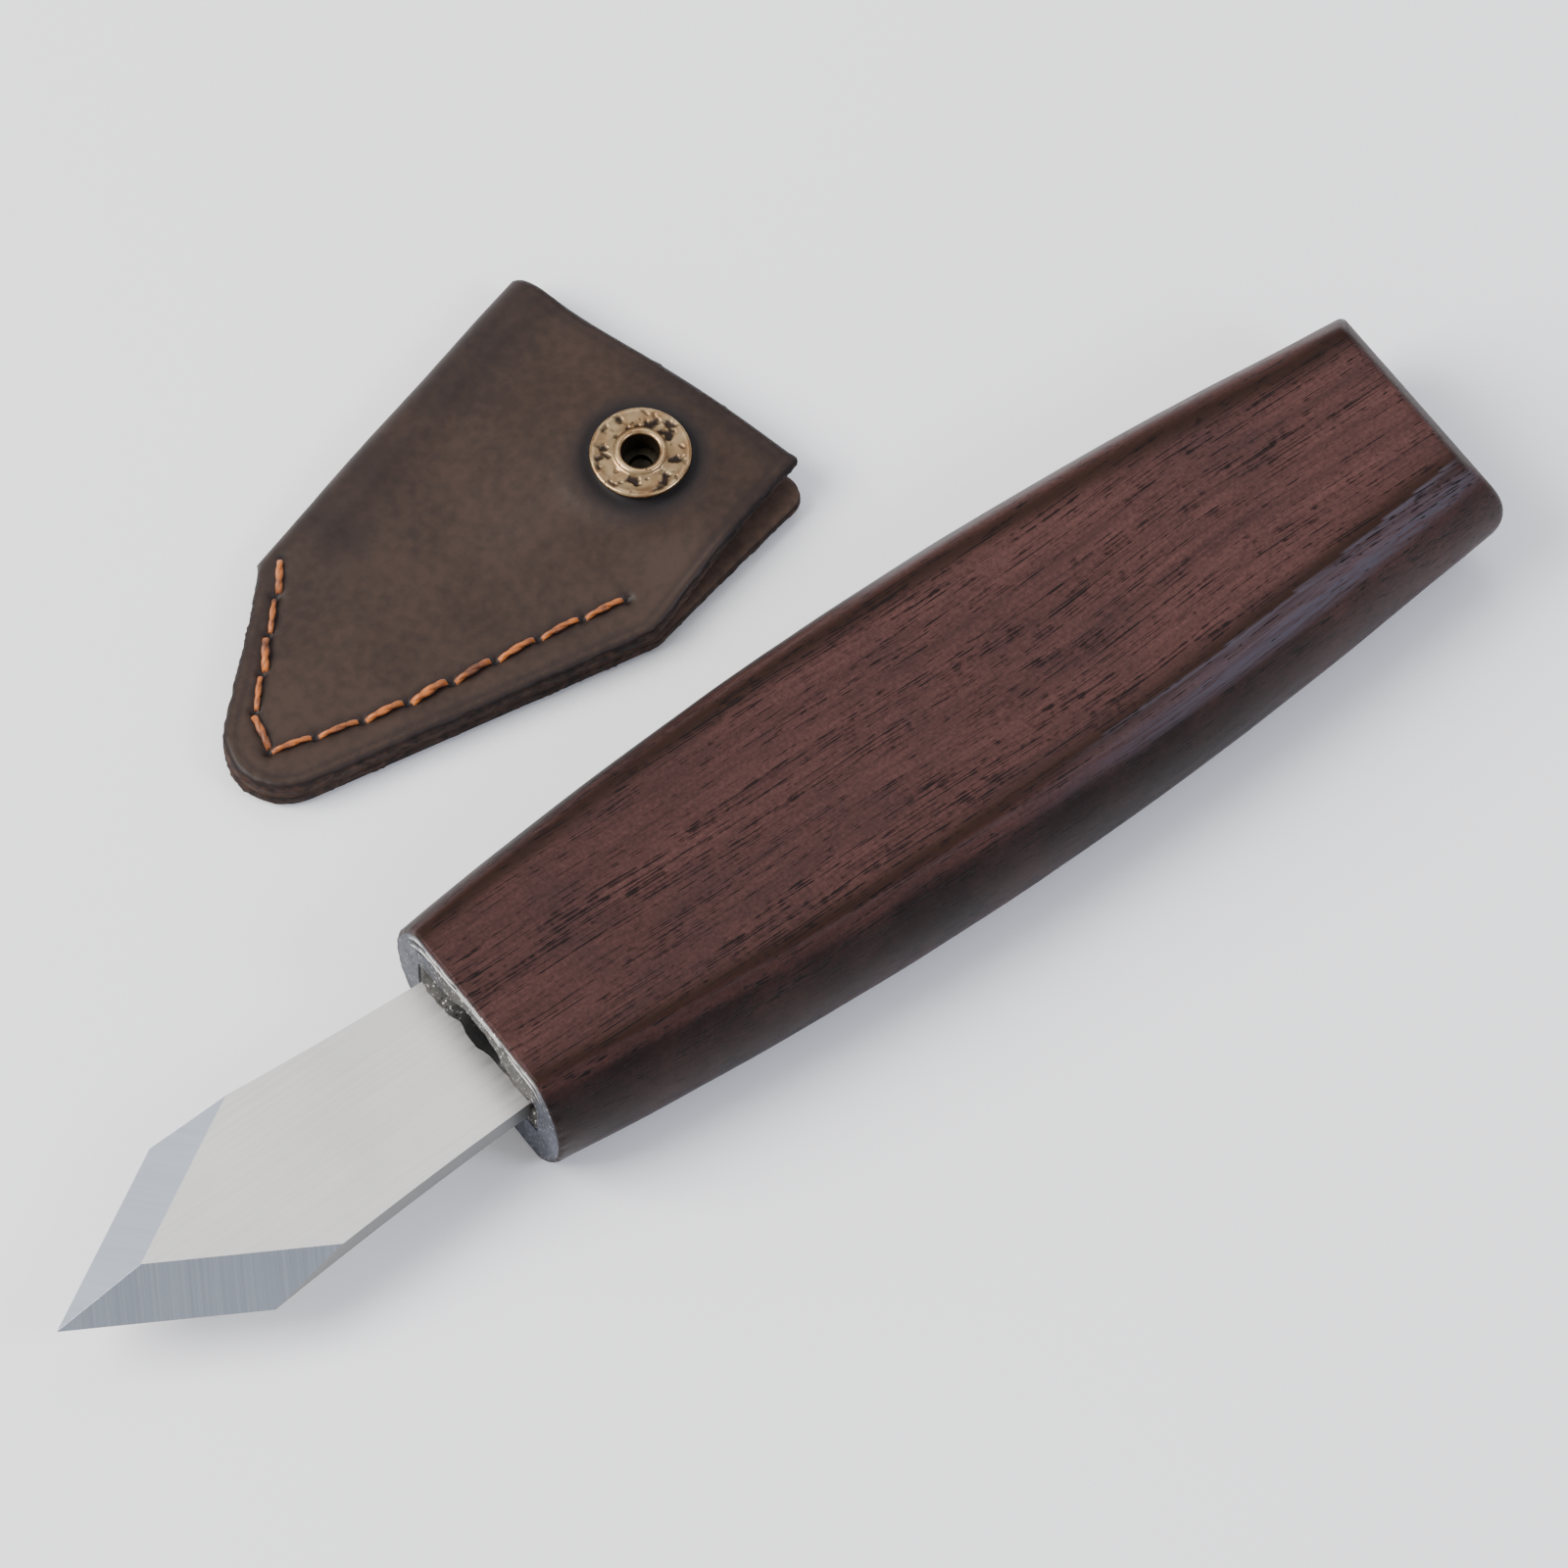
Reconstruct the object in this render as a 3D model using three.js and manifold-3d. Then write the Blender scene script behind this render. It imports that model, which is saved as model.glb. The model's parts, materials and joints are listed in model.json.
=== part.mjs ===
// A whittling knife and its leather blade sheath. The knife lies flat on its handle, with the blade
// pointing along -X; the sheath lies beside it with its snap closed. Millimetres, +Z up. The origin is
// the middle of the handle's flat underside.
import * as THREE from 'three';
import { mergeVertices } from 'three/addons/utils/BufferGeometryUtils.js';
import Module from 'manifold-3d';

const wasm = await Module();
wasm.setup();

// ---- Driving dimensions ------------------------------------------------------------------------

const FIT_GAP = 0.3;                    // clearance between pieces that touch

const HANDLE = {
  length: 115,
  thickness: 17,
  halfWidth: 17,                        // at the widest place of the barrel
  taper: 3.9,                           // loss of half-width over half the length
  widestX: -3,
  domeRise: 3.6,                        // how far each side stands out past its ridges
  ridgeRadius: 2,
  frontRim: 1.2,                        // rounding of the front end's rim
  buttRim: 1.0,                         // rounding of the butt's upper and lower edges
  buttCorner: 2.4,                      // rounding of the butt's corners, seen from above
};

const BLADE = {
  thickness: 2.6,
  reach: 49.1,                          // handle front to tip
  shoulderReach: 31.1,                  // handle front to the widest place
  shoulderHalf: 10.45,
  neckHalf: 8.3,
  waist: 0.25,                          // hollow of each side between shoulder and neck
  bevelWidth: 4.95,                     // width of each ground bevel, seen from above
  edgeLand: 0.1,                        // thickness left at the cutting edge
  neckDepth: 4,                         // full-width neck inside the handle
  tangHalf: 5,
  tangEndHalf: 3,
  tangLength: 46,
};

const MORTISE = { halfWidth: 9.7, height: 5.4, depth: 49 };
const BEDDING = { frontRecess: 0.7, chipHalf: 2.4, chipDepth: 6 };

const SHEATH = {
  corner: [-3.5, 68.1],                 // mouth end of the fold, on the table
  turn: 195.5,                          // degrees from +X to the direction from mouth to tip
  underside: 1.3,
  leather: 1.8,
  pocket: 2.6,
  foldLength: 40.5,
  mouthWidth: 35.2,
  freeEdge: 22.8,                       // length of the open side, from the mouth
  tipCorner: [67.9, 14.5],              // where the two sewn edges would meet
  tipRadius: 6,
  frontSetBack: 0.5,                    // the front layer's free corner stands back from the rear one's
  hingeStart: [2.6, 0],                 // the bend line of the snap corner
  hingeEnd: [22.8, 35.2],
};

const SEAM = {
  path: [[38.9, 1.3], [53.8, 9.9], [56.4, 13.7], [22.0, 31.5]],
  stitches: [4, 1, 8],                  // stitches on each leg of the path
  threadRadius: 0.4,
  holeRadius: 0.65,
};

const SNAP = {
  centre: [9.5, 23.0],
  flangeRadius: 5.1,
  flangeThickness: 0.7,
  rimRadius: 2.7,
  rimRise: 0.3,
  holeRadius: 1.9,
  tubeWall: 0.3,
  capRadius: 5.2,
  capRise: 1.0,
  postRadius: 1.3,
  socketRadius: 4.0,
  socketHeight: 1.4,
  socketMouth: 2.5,
  grooveRadius: 3.4,
  springRadius: 2.9,
  springWire: 0.2,
  studFlange: 4.0,
  studPlate: 0.3,
  studRadius: 1.7,
  studBore: 1.2,
  studDepth: 0.95,
  postHead: 0.45,                       // how far the cap's post stands above the socket's base
  socketFloor: 0.35,
  socketLip: 0.2,
};

// ---- Values worked out from them ---------------------------------------------------------------

const frontX = -HANDLE.length / 2;
const buttX = HANDLE.length / 2;
const axisZ = HANDLE.thickness / 2;
const bladeBottom = axisZ - BLADE.thickness / 2;
const bladeTop = axisZ + BLADE.thickness / 2;

const backBottom = SHEATH.underside;
const backTop = backBottom + SHEATH.leather;
const frontBottom = backTop + SHEATH.pocket;
const frontTop = frontBottom + SHEATH.leather;
const foldRadius = (frontTop - backBottom) / 2;

// ---- Solids: from three.js geometry to manifold-3d and back ---------------------------------------

function solidOf(geometry) {
  const bare = geometry.clone();
  for (const name of Object.keys(bare.attributes)) {
    if (name !== 'position') bare.deleteAttribute(name);
  }
  const merged = mergeVertices(bare, 1e-4);
  const place = merged.attributes.position;
  const corners = [new THREE.Vector3(), new THREE.Vector3(), new THREE.Vector3()];
  const faces = [];
  let volume = 0;
  for (let i = 0; i < merged.index.count; i += 3) {
    const face = [0, 1, 2].map((k) => merged.index.getX(i + k));
    if (new Set(face).size < 3) continue;
    face.forEach((vertex, k) => corners[k].fromBufferAttribute(place, vertex));
    volume += corners[0].dot(corners[1].clone().cross(corners[2])) / 6;
    faces.push(face);
  }
  const outward = volume > 0 ? faces : faces.map(([a, b, c]) => [a, c, b]);
  return new wasm.Manifold(new wasm.Mesh({
    numProp: 3,
    vertProperties: new Float32Array(place.array),
    triVerts: new Uint32Array(outward.flat()),
  }));
}

function meshOf(name, solid, color, roughness, metalness) {
  const { vertProperties, triVerts } = solid.getMesh();
  const geometry = new THREE.BufferGeometry();
  geometry.setAttribute('position', new THREE.BufferAttribute(new Float32Array(vertProperties), 3));
  geometry.setIndex(new THREE.BufferAttribute(new Uint32Array(triVerts), 1));
  geometry.computeVertexNormals();
  const mesh = new THREE.Mesh(geometry, new THREE.MeshStandardMaterial({ color, roughness, metalness }));
  mesh.name = name;
  return mesh;
}

function shapeOf(points) {
  return new THREE.Shape(points.map(([x, y]) => new THREE.Vector2(x, y)));
}

// A flat plate of a given outline between two heights.
function plate(shape, low, high, curveSegments = 10) {
  const options = { depth: high - low, bevelEnabled: false, curveSegments };
  return solidOf(new THREE.ExtrudeGeometry(shape, options).translate(0, 0, low));
}

function box(low, high) {
  const size = high.map((value, axis) => value - low[axis]);
  const middle = high.map((value, axis) => (value + low[axis]) / 2);
  return solidOf(new THREE.BoxGeometry(...size).translate(...middle));
}

function pin(radius, low, high, [x, y], sides = 10) {
  const geometry = new THREE.CylinderGeometry(radius, radius, high - low, sides);
  return solidOf(geometry.rotateX(Math.PI / 2).translate(x, y, (low + high) / 2));
}

// A turned piece: the profile is [radius, height] and stands on the snap's axis.
function turned(profile, sides = 32) {
  const points = profile.map(([radius, height]) => new THREE.Vector2(radius, height));
  return solidOf(new THREE.LatheGeometry(points, sides).rotateX(Math.PI / 2)
    .translate(...SNAP.centre, 0));
}

function union(solids) {
  return solids.reduce((whole, piece) => whole.add(piece));
}

// ---- Handle --------------------------------------------------------------------------------------

// Half-width of the barrel at x.
function handleHalfWidth(x) {
  return HANDLE.halfWidth - HANDLE.taper * ((x - HANDLE.widestX) / buttX) ** 2;
}

// One section of the handle: flat above and below, a domed side each way, softened ridges between.
function handleSection(halfWidth, halfHeight) {
  const rise = HANDLE.domeRise;
  const soft = HANDLE.ridgeRadius;
  const domeRadius = (rise ** 2 + halfHeight ** 2) / (2 * rise);
  const domeCentre = halfWidth - domeRadius;
  const ridgeY = domeCentre + Math.sqrt((domeRadius - soft) ** 2 - (halfHeight - soft) ** 2);
  const turn = Math.atan2(halfHeight - soft, ridgeY - domeCentre);
  const ridgeSteps = 4;
  const domeSteps = 8;
  const side = [];
  for (let i = 0; i < ridgeSteps; i++) {
    const angle = Math.PI / 2 + (turn - Math.PI / 2) * (i / ridgeSteps);
    side.push([ridgeY + soft * Math.cos(angle), halfHeight - soft + soft * Math.sin(angle)]);
  }
  for (let i = 0; i <= domeSteps; i++) {
    const angle = turn - 2 * turn * (i / domeSteps);
    side.push([domeCentre + domeRadius * Math.cos(angle), domeRadius * Math.sin(angle)]);
  }
  for (let i = ridgeSteps - 1; i >= 0; i--) {
    side.push([side[i][0], -side[i][1]]);
  }
  return [...side, ...side.map(([y, z]) => [-y, -z])];
}

// Set-back of a rounded edge of the given radius, at a distance from the end face.
function rounding(radius, distance) {
  if (distance >= radius) return 0;
  return radius - Math.sqrt(radius ** 2 - (radius - distance) ** 2);
}

function handleStations() {
  const steps = [0, 0.1, 0.35, 0.75];
  const front = steps.map((part) => frontX + part * HANDLE.frontRim);
  const butt = steps.map((part) => buttX - part * HANDLE.buttCorner).reverse();
  const bodyStart = frontX + HANDLE.frontRim;
  const bodyEnd = buttX - HANDLE.buttCorner;
  const count = 22;
  const body = [...Array(count + 1).keys()].map((i) => bodyStart + (bodyEnd - bodyStart) * i / count);
  return [...front, ...body, ...butt];
}

function loftedHandle() {
  const rings = handleStations().map((x) => {
    const fromFront = x - frontX;
    const fromButt = buttX - x;
    const rim = rounding(HANDLE.frontRim, fromFront);
    const halfWidth = handleHalfWidth(x) - rim - rounding(HANDLE.buttCorner, fromButt);
    const halfHeight = axisZ - rim - rounding(HANDLE.buttRim, fromButt);
    return handleSection(halfWidth, halfHeight).map(([y, z]) => [x, y, z + axisZ]);
  });
  const size = rings[0].length;
  const positions = rings.flat();
  const faces = [];
  for (let i = 0; i + 1 < rings.length; i++) {
    for (let k = 0; k < size; k++) {
      const next = (k + 1) % size;
      const [a, b] = [i * size + k, i * size + next];
      faces.push([a, b, b + size], [a, b + size, a + size]);
    }
  }
  const frontCentre = positions.push([frontX, 0, axisZ]) - 1;
  const buttCentre = positions.push([buttX, 0, axisZ]) - 1;
  const last = (rings.length - 1) * size;
  for (let k = 0; k < size; k++) {
    const next = (k + 1) % size;
    faces.push([frontCentre, next, k], [buttCentre, last + k, last + next]);
  }
  const geometry = new THREE.BufferGeometry();
  geometry.setAttribute('position', new THREE.Float32BufferAttribute(positions.flat(), 3));
  geometry.setIndex(faces.flat());
  return solidOf(geometry);
}

function makeHandle() {
  const { halfWidth, height, depth } = MORTISE;
  const mortise = box(
    [frontX - 1, -halfWidth, axisZ - height / 2],
    [frontX + depth, halfWidth, axisZ + height / 2],
  );
  return meshOf('handle', loftedHandle().subtract(mortise), 0x5b3a35, 0.5, 0);
}

// ---- Blade and its bedding -------------------------------------------------------------------------

// Plan of the blade and tang; grown outward by a margin to make the hollow for it.
function bladeShape(margin = 0) {
  const tipX = frontX - BLADE.reach;
  const shoulderX = frontX - BLADE.shoulderReach;
  const neckX = frontX + BLADE.neckDepth + margin;
  const tangX = frontX + BLADE.tangLength + margin;
  const waistX = (shoulderX + frontX) / 2;
  const waistY = (BLADE.shoulderHalf + BLADE.neckHalf) / 2 - 2 * BLADE.waist;
  const neck = BLADE.neckHalf + margin;
  const shape = new THREE.Shape();
  shape.moveTo(tipX, 0);
  shape.lineTo(shoulderX, -BLADE.shoulderHalf);
  shape.quadraticCurveTo(waistX, -waistY, frontX, -neck);
  shape.lineTo(neckX, -neck);
  shape.lineTo(neckX, -BLADE.tangHalf - margin);
  shape.lineTo(tangX, -BLADE.tangEndHalf - margin);
  shape.lineTo(tangX, BLADE.tangEndHalf + margin);
  shape.lineTo(neckX, BLADE.tangHalf + margin);
  shape.lineTo(neckX, neck);
  shape.lineTo(frontX, neck);
  shape.quadraticCurveTo(waistX, waistY, shoulderX, BLADE.shoulderHalf);
  shape.lineTo(tipX, 0);
  return shape;
}

// The steel ground away above one bevel; side is +1 for the +Y edge and -1 for the -Y edge.
function bevelCut(side) {
  const run = BLADE.reach - BLADE.shoulderReach;
  const angle = Math.atan2(BLADE.shoulderHalf, run);
  const slope = (BLADE.thickness - BLADE.edgeLand) / BLADE.bevelWidth;
  const outside = 3;
  const inside = BLADE.bevelWidth + 2;
  const edgeZ = bladeBottom + BLADE.edgeLand;
  const wedge = shapeOf([
    [-outside, edgeZ - outside * slope],
    [inside, edgeZ + inside * slope],
    [-outside, edgeZ + inside * slope],
  ]);
  const length = 60;
  const geometry = new THREE.ExtrudeGeometry(wedge, { depth: length, bevelEnabled: false });
  // Extrusion runs along the cutting edge, the wedge's x points into the blade and its y points up.
  const along = new THREE.Vector3(Math.cos(angle), side * Math.sin(angle), 0);
  const inward = new THREE.Vector3(Math.sin(angle), -side * Math.cos(angle), 0);
  const up = new THREE.Vector3(0, 0, 1);
  const place = new THREE.Matrix4().makeBasis(inward, up, along);
  const start = new THREE.Vector3(frontX - BLADE.reach, 0, 0).addScaledVector(along, -length / 3);
  return solidOf(geometry.applyMatrix4(place.setPosition(start)));
}

function makeBlade() {
  const blank = plate(bladeShape(), bladeBottom, bladeTop, 8);
  const ground = blank.subtract(bevelCut(1)).subtract(bevelCut(-1));
  return meshOf('blade', ground, 0xcbc9c4, 0.32, 1);
}

// Glue that beds the tang in the mortise, with a broken-out gap above the blade at the front.
function makeBedding() {
  const halfWidth = MORTISE.halfWidth - FIT_GAP;
  const halfHeight = MORTISE.height / 2 - FIT_GAP;
  const fill = box(
    [frontX + BEDDING.frontRecess, -halfWidth, axisZ - halfHeight],
    [frontX + MORTISE.depth - FIT_GAP, halfWidth, axisZ + halfHeight],
  );
  const hollow = plate(bladeShape(FIT_GAP), bladeBottom - FIT_GAP, bladeTop + FIT_GAP, 8);
  const chip = box(
    [frontX, -BEDDING.chipHalf, axisZ],
    [frontX + BEDDING.chipDepth, BEDDING.chipHalf, axisZ + MORTISE.height],
  );
  return meshOf('tang_bedding', fill.subtract(hollow).subtract(chip), 0x3a3a40, 0.6, 0);
}

// ---- Sheath leather, in its own frame: x from the mouth towards the tip, y away from the fold ------

// Plan of one leather layer: the sewn tip is rounded, every other corner is square.
function leatherShape(setBack) {
  const bend = new THREE.Vector2(...SHEATH.tipCorner);
  const foldEnd = new THREE.Vector2(SHEATH.foldLength, 0);
  const freeEnd = new THREE.Vector2(SHEATH.freeEdge, SHEATH.mouthWidth);
  const toFold = foldEnd.clone().sub(bend).normalize();
  const toFree = freeEnd.clone().sub(bend).normalize();
  const halfAngle = Math.acos(toFold.dot(toFree)) / 2;
  const tangent = SHEATH.tipRadius / Math.tan(halfAngle);
  const bisector = toFold.clone().add(toFree).normalize();
  const centre = bend.clone().addScaledVector(bisector, SHEATH.tipRadius / Math.sin(halfAngle));
  const start = bend.clone().addScaledVector(toFold, tangent).sub(centre);
  const end = bend.clone().addScaledVector(toFree, tangent).sub(centre);
  const shape = new THREE.Shape();
  shape.moveTo(0, 0);
  shape.lineTo(foldEnd.x, foldEnd.y);
  shape.absarc(centre.x, centre.y, SHEATH.tipRadius, start.angle(), end.angle() + 2 * Math.PI * (
    end.angle() < start.angle() ? 1 : 0), false);
  shape.lineTo(freeEnd.x, freeEnd.y);
  shape.lineTo(setBack, SHEATH.mouthWidth - setBack);
  shape.lineTo(0, 0);
  return shape;
}

// Everything on the flap's side of the bend line, or on the other side, short of it by a margin.
function besideBendLine(flapSide, margin) {
  const start = new THREE.Vector2(...SHEATH.hingeStart);
  const end = new THREE.Vector2(...SHEATH.hingeEnd);
  const along = end.clone().sub(start).normalize();
  const away = new THREE.Vector2(-along.y, along.x).multiplyScalar(flapSide ? 1 : -1);
  const reach = 90;
  const low = start.clone().addScaledVector(along, -reach).addScaledVector(away, margin);
  const high = end.clone().addScaledVector(along, reach).addScaledVector(away, margin);
  const corners = [low, high, high.clone().addScaledVector(away, reach),
    low.clone().addScaledVector(away, reach)];
  return plate(new THREE.Shape(corners), 0, 20);
}

function seamHoles() {
  const holes = [SEAM.path[0]];
  SEAM.stitches.forEach((count, leg) => {
    const [x0, y0] = SEAM.path[leg];
    const [x1, y1] = SEAM.path[leg + 1];
    for (let i = 1; i <= count; i++) {
      holes.push([x0 + (x1 - x0) * i / count, y0 + (y1 - y0) * i / count]);
    }
  });
  return holes;
}

function drilledForSeam(solid) {
  return seamHoles().reduce(
    (left, hole) => left.subtract(pin(SEAM.holeRadius, 0, 20, hole, 8)),
    solid,
  );
}

function panel(low, setBack) {
  const clearOfFold = box([-5, foldRadius + FIT_GAP / 2, 0], [80, 60, 20]);
  return plate(leatherShape(setBack), low, low + SHEATH.leather, 12).intersect(clearOfFold);
}

const LEATHER_LOOK = [0x4f3f3a, 0.6, 0];

function makeBackPanel() {
  const postHole = pin(SNAP.postRadius + FIT_GAP, 0, 20, SNAP.centre, 16);
  return meshOf('sheath_back', drilledForSeam(panel(backBottom, 0)).subtract(postHole), ...LEATHER_LOOK);
}

function makeFrontPanel() {
  const fixed = panel(frontBottom, SHEATH.frontSetBack).intersect(besideBendLine(false, FIT_GAP / 2));
  return meshOf('sheath_front', drilledForSeam(fixed), ...LEATHER_LOOK);
}

function makeFlap() {
  const corner = panel(frontBottom, SHEATH.frontSetBack).intersect(besideBendLine(true, FIT_GAP / 2));
  const tubeHole = pin(SNAP.holeRadius + SNAP.tubeWall + FIT_GAP, 0, 20, SNAP.centre, 24);
  return meshOf('sheath_flap', corner.subtract(tubeHole), ...LEATHER_LOOK);
}

// The bend of the leather along the fold: half a tube, cut on the slant at the sewn edge.
function makeFold() {
  const inner = foldRadius - SHEATH.leather;
  const shape = new THREE.Shape();
  shape.absarc(0, 0, foldRadius, Math.PI / 2, -Math.PI / 2, true);
  shape.absarc(0, 0, inner, -Math.PI / 2, Math.PI / 2, false);
  const length = 60;
  const geometry = new THREE.ExtrudeGeometry(shape, {
    depth: length, bevelEnabled: false, curveSegments: 12,
  });
  // The half tube's round side faces the fold edge.
  const place = new THREE.Matrix4().makeBasis(
    new THREE.Vector3(0, -1, 0),
    new THREE.Vector3(0, 0, 1),
    new THREE.Vector3(-1, 0, 0),
  );
  place.setPosition(length, foldRadius - FIT_GAP / 2, backBottom + foldRadius);
  const tube = solidOf(geometry.applyMatrix4(place));
  const cut = plate(leatherShape(0), 0, 20).intersect(box([0, -1, 0], [80, foldRadius + 1, 20]));
  return meshOf('sheath_fold', drilledForSeam(tube.intersect(cut)), ...LEATHER_LOOK);
}

// Saddle stitching: every hole is joined to the next one above and below the leather.
function makeThread() {
  const radius = SEAM.threadRadius;
  const upper = frontTop + FIT_GAP + radius;
  const lower = backBottom - FIT_GAP - radius;
  const holes = seamHoles();
  const pieces = holes.map((hole) => pin(radius, lower, upper, hole, 8));
  for (let i = 0; i + 1 < holes.length; i++) {
    const [x0, y0] = holes[i];
    const [x1, y1] = holes[i + 1];
    const length = Math.hypot(x1 - x0, y1 - y0);
    for (const height of [lower, upper]) {
      const bar = new THREE.CapsuleGeometry(radius, length, 3, 8).rotateZ(Math.PI / 2);
      bar.rotateZ(Math.atan2(y1 - y0, x1 - x0));
      pieces.push(solidOf(bar.translate((x0 + x1) / 2, (y0 + y1) / 2, height)));
    }
  }
  return meshOf('stitch_thread', union(pieces), 0xc4662c, 0.7, 0);
}

// ---- Snap, closed ------------------------------------------------------------------------------------

const SNAP_LOOK = [0x9a8257, 0.35, 1];

// Outside of the rear layer: a low domed cap with a post up through the leather into the socket.
function makeCap() {
  const { capRadius, capRise, postRadius } = SNAP;
  const steps = 6;
  const dome = [...Array(steps + 1).keys()].map((i) => {
    const angle = (Math.PI / 2) * (i / steps);
    return [capRadius * Math.sin(angle), capRise - capRise * Math.cos(angle)];
  });
  const postTop = backTop + FIT_GAP + SNAP.postHead;
  return turned([...dome, [postRadius, capRise], [postRadius, postTop], [0, postTop]]);
}

// Inside, on the rear layer: a ring with an inner groove for its spring.
function makeSocket() {
  const base = backTop + FIT_GAP;
  const top = base + SNAP.socketHeight;
  const floor = base + SNAP.socketFloor;
  const lip = top - SNAP.socketLip;
  return turned([
    [SNAP.postRadius + FIT_GAP, base], [SNAP.socketRadius, base], [SNAP.socketRadius, top],
    [SNAP.socketMouth, top], [SNAP.socketMouth, lip], [SNAP.grooveRadius, lip],
    [SNAP.grooveRadius, floor], [SNAP.postRadius + FIT_GAP, floor], [SNAP.postRadius + FIT_GAP, base],
  ]);
}

// The wire ring in the socket's groove that grips the stud.
function makeSpring() {
  const base = backTop + FIT_GAP;
  const middle = base + (SNAP.socketFloor + SNAP.socketHeight - SNAP.socketLip) / 2;
  const ring = new THREE.TorusGeometry(SNAP.springRadius, SNAP.springWire, 8, 32);
  return solidOf(ring.translate(...SNAP.centre, middle));
}

// Inside, under the front layer: a plate with a hollow boss that snaps into the socket.
function makeStud() {
  const top = frontBottom - FIT_GAP;
  const plateLow = top - SNAP.studPlate;
  const tip = plateLow - SNAP.studDepth;
  return turned([
    [0, tip], [SNAP.studRadius - 0.3, tip], [SNAP.studRadius, tip + 0.3], [SNAP.studRadius, plateLow],
    [SNAP.studFlange, plateLow], [SNAP.studFlange, top], [SNAP.studBore, top],
    [SNAP.studBore, tip + 0.4], [0, tip + 0.4],
  ]);
}

// Outside of the front layer: a flange with a raised rim round the hole of its tube.
function makeEyelet() {
  const base = frontTop + FIT_GAP;
  const face = base + SNAP.flangeThickness;
  const bore = SNAP.holeRadius;
  const tube = bore + SNAP.tubeWall;
  return turned([
    [bore, frontBottom], [tube, frontBottom], [tube, base], [SNAP.flangeRadius - 0.2, base],
    [SNAP.flangeRadius, base + 0.25], [SNAP.flangeRadius - 0.35, face], [SNAP.rimRadius, face - 0.15],
    [SNAP.rimRadius - 0.3, face + SNAP.rimRise], [bore + 0.15, face + SNAP.rimRise],
    [bore, face], [bore, frontBottom],
  ], 40);
}

// ---- Assembly ------------------------------------------------------------------------------------------

const sheath = new THREE.Group();
sheath.position.set(...SHEATH.corner, 0);
sheath.rotation.z = THREE.MathUtils.degToRad(SHEATH.turn);
sheath.add(
  makeBackPanel(),
  makeFrontPanel(),
  makeFlap(),
  makeFold(),
  makeThread(),
  meshOf('snap_cap', makeCap(), ...SNAP_LOOK),
  meshOf('snap_socket', makeSocket(), ...SNAP_LOOK),
  meshOf('snap_spring', makeSpring(), 0xb0b0b0, 0.3, 1),
  meshOf('snap_stud', makeStud(), ...SNAP_LOOK),
  meshOf('snap_eyelet', makeEyelet(), ...SNAP_LOOK),
);

const knife = new THREE.Group();
knife.add(makeHandle(), makeBlade(), makeBedding());

const group = new THREE.Group();
group.add(knife, sheath);

export default group;
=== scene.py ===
import json
import math
from collections import Counter

import bmesh
import bpy
import numpy as np
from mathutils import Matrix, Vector, noise
from mathutils.geometry import delaunay_2d_cdt

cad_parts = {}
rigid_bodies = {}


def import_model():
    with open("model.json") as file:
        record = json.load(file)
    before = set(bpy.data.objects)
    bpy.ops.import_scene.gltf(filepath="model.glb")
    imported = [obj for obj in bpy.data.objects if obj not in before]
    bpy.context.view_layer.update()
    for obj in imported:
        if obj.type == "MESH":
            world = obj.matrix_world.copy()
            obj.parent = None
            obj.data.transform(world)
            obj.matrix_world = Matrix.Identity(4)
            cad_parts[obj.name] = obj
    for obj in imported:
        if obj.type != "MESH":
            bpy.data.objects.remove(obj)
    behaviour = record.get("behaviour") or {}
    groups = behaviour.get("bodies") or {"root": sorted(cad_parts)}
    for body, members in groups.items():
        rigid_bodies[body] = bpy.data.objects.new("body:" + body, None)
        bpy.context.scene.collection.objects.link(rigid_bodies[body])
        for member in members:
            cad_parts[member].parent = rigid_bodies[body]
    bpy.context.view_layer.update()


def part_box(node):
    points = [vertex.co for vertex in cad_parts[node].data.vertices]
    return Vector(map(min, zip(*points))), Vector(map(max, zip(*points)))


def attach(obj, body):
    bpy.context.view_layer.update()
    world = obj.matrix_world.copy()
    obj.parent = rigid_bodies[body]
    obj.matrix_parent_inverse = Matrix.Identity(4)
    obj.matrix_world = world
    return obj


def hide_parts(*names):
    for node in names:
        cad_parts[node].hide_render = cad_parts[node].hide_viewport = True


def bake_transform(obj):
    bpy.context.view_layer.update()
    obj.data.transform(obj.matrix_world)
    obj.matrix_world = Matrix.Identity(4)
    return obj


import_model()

# ---- Driving sizes, in millimetres ----

MM = 0.001                                # one millimetre, in the scene's metres

handle_low, handle_high = (np.array(corner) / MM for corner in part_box("handle"))
blade_low, blade_high = (np.array(corner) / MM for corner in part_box("blade"))
ring_low, ring_high = (np.array(corner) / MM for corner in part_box("snap_eyelet"))
cap_low, cap_high = (np.array(corner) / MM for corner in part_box("snap_cap"))
socket_low, socket_high = (np.array(corner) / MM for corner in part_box("snap_socket"))
stud_low, stud_high = (np.array(corner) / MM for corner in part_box("snap_stud"))
spring_low, spring_high = (np.array(corner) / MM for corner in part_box("snap_spring"))

FRONT_X = handle_low[0]
BUTT_X = handle_high[0]
AXIS_Z = (handle_low[2] + handle_high[2]) / 2
HALF_WIDTH = handle_high[1]
TAPER = 3.9                               # half-width lost over half the handle's length
WIDEST_X = -3.0
DOME_RISE = 3.6                           # how far the sides stand out past the ridges
MORTISE_HALF = 9.7
MORTISE_HEIGHT = 5.4
MORTISE_DEPTH = 49.0
MORTISE_CORNER = 0.7
FRONT_RIM = 0.35                          # rounding of the front face's rim
BUTT_DOME = 13.2                          # the butt bulges endways, like the side of a barrel
BUTT_RIM = 0.5                            # rounding of the butt's edges

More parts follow.
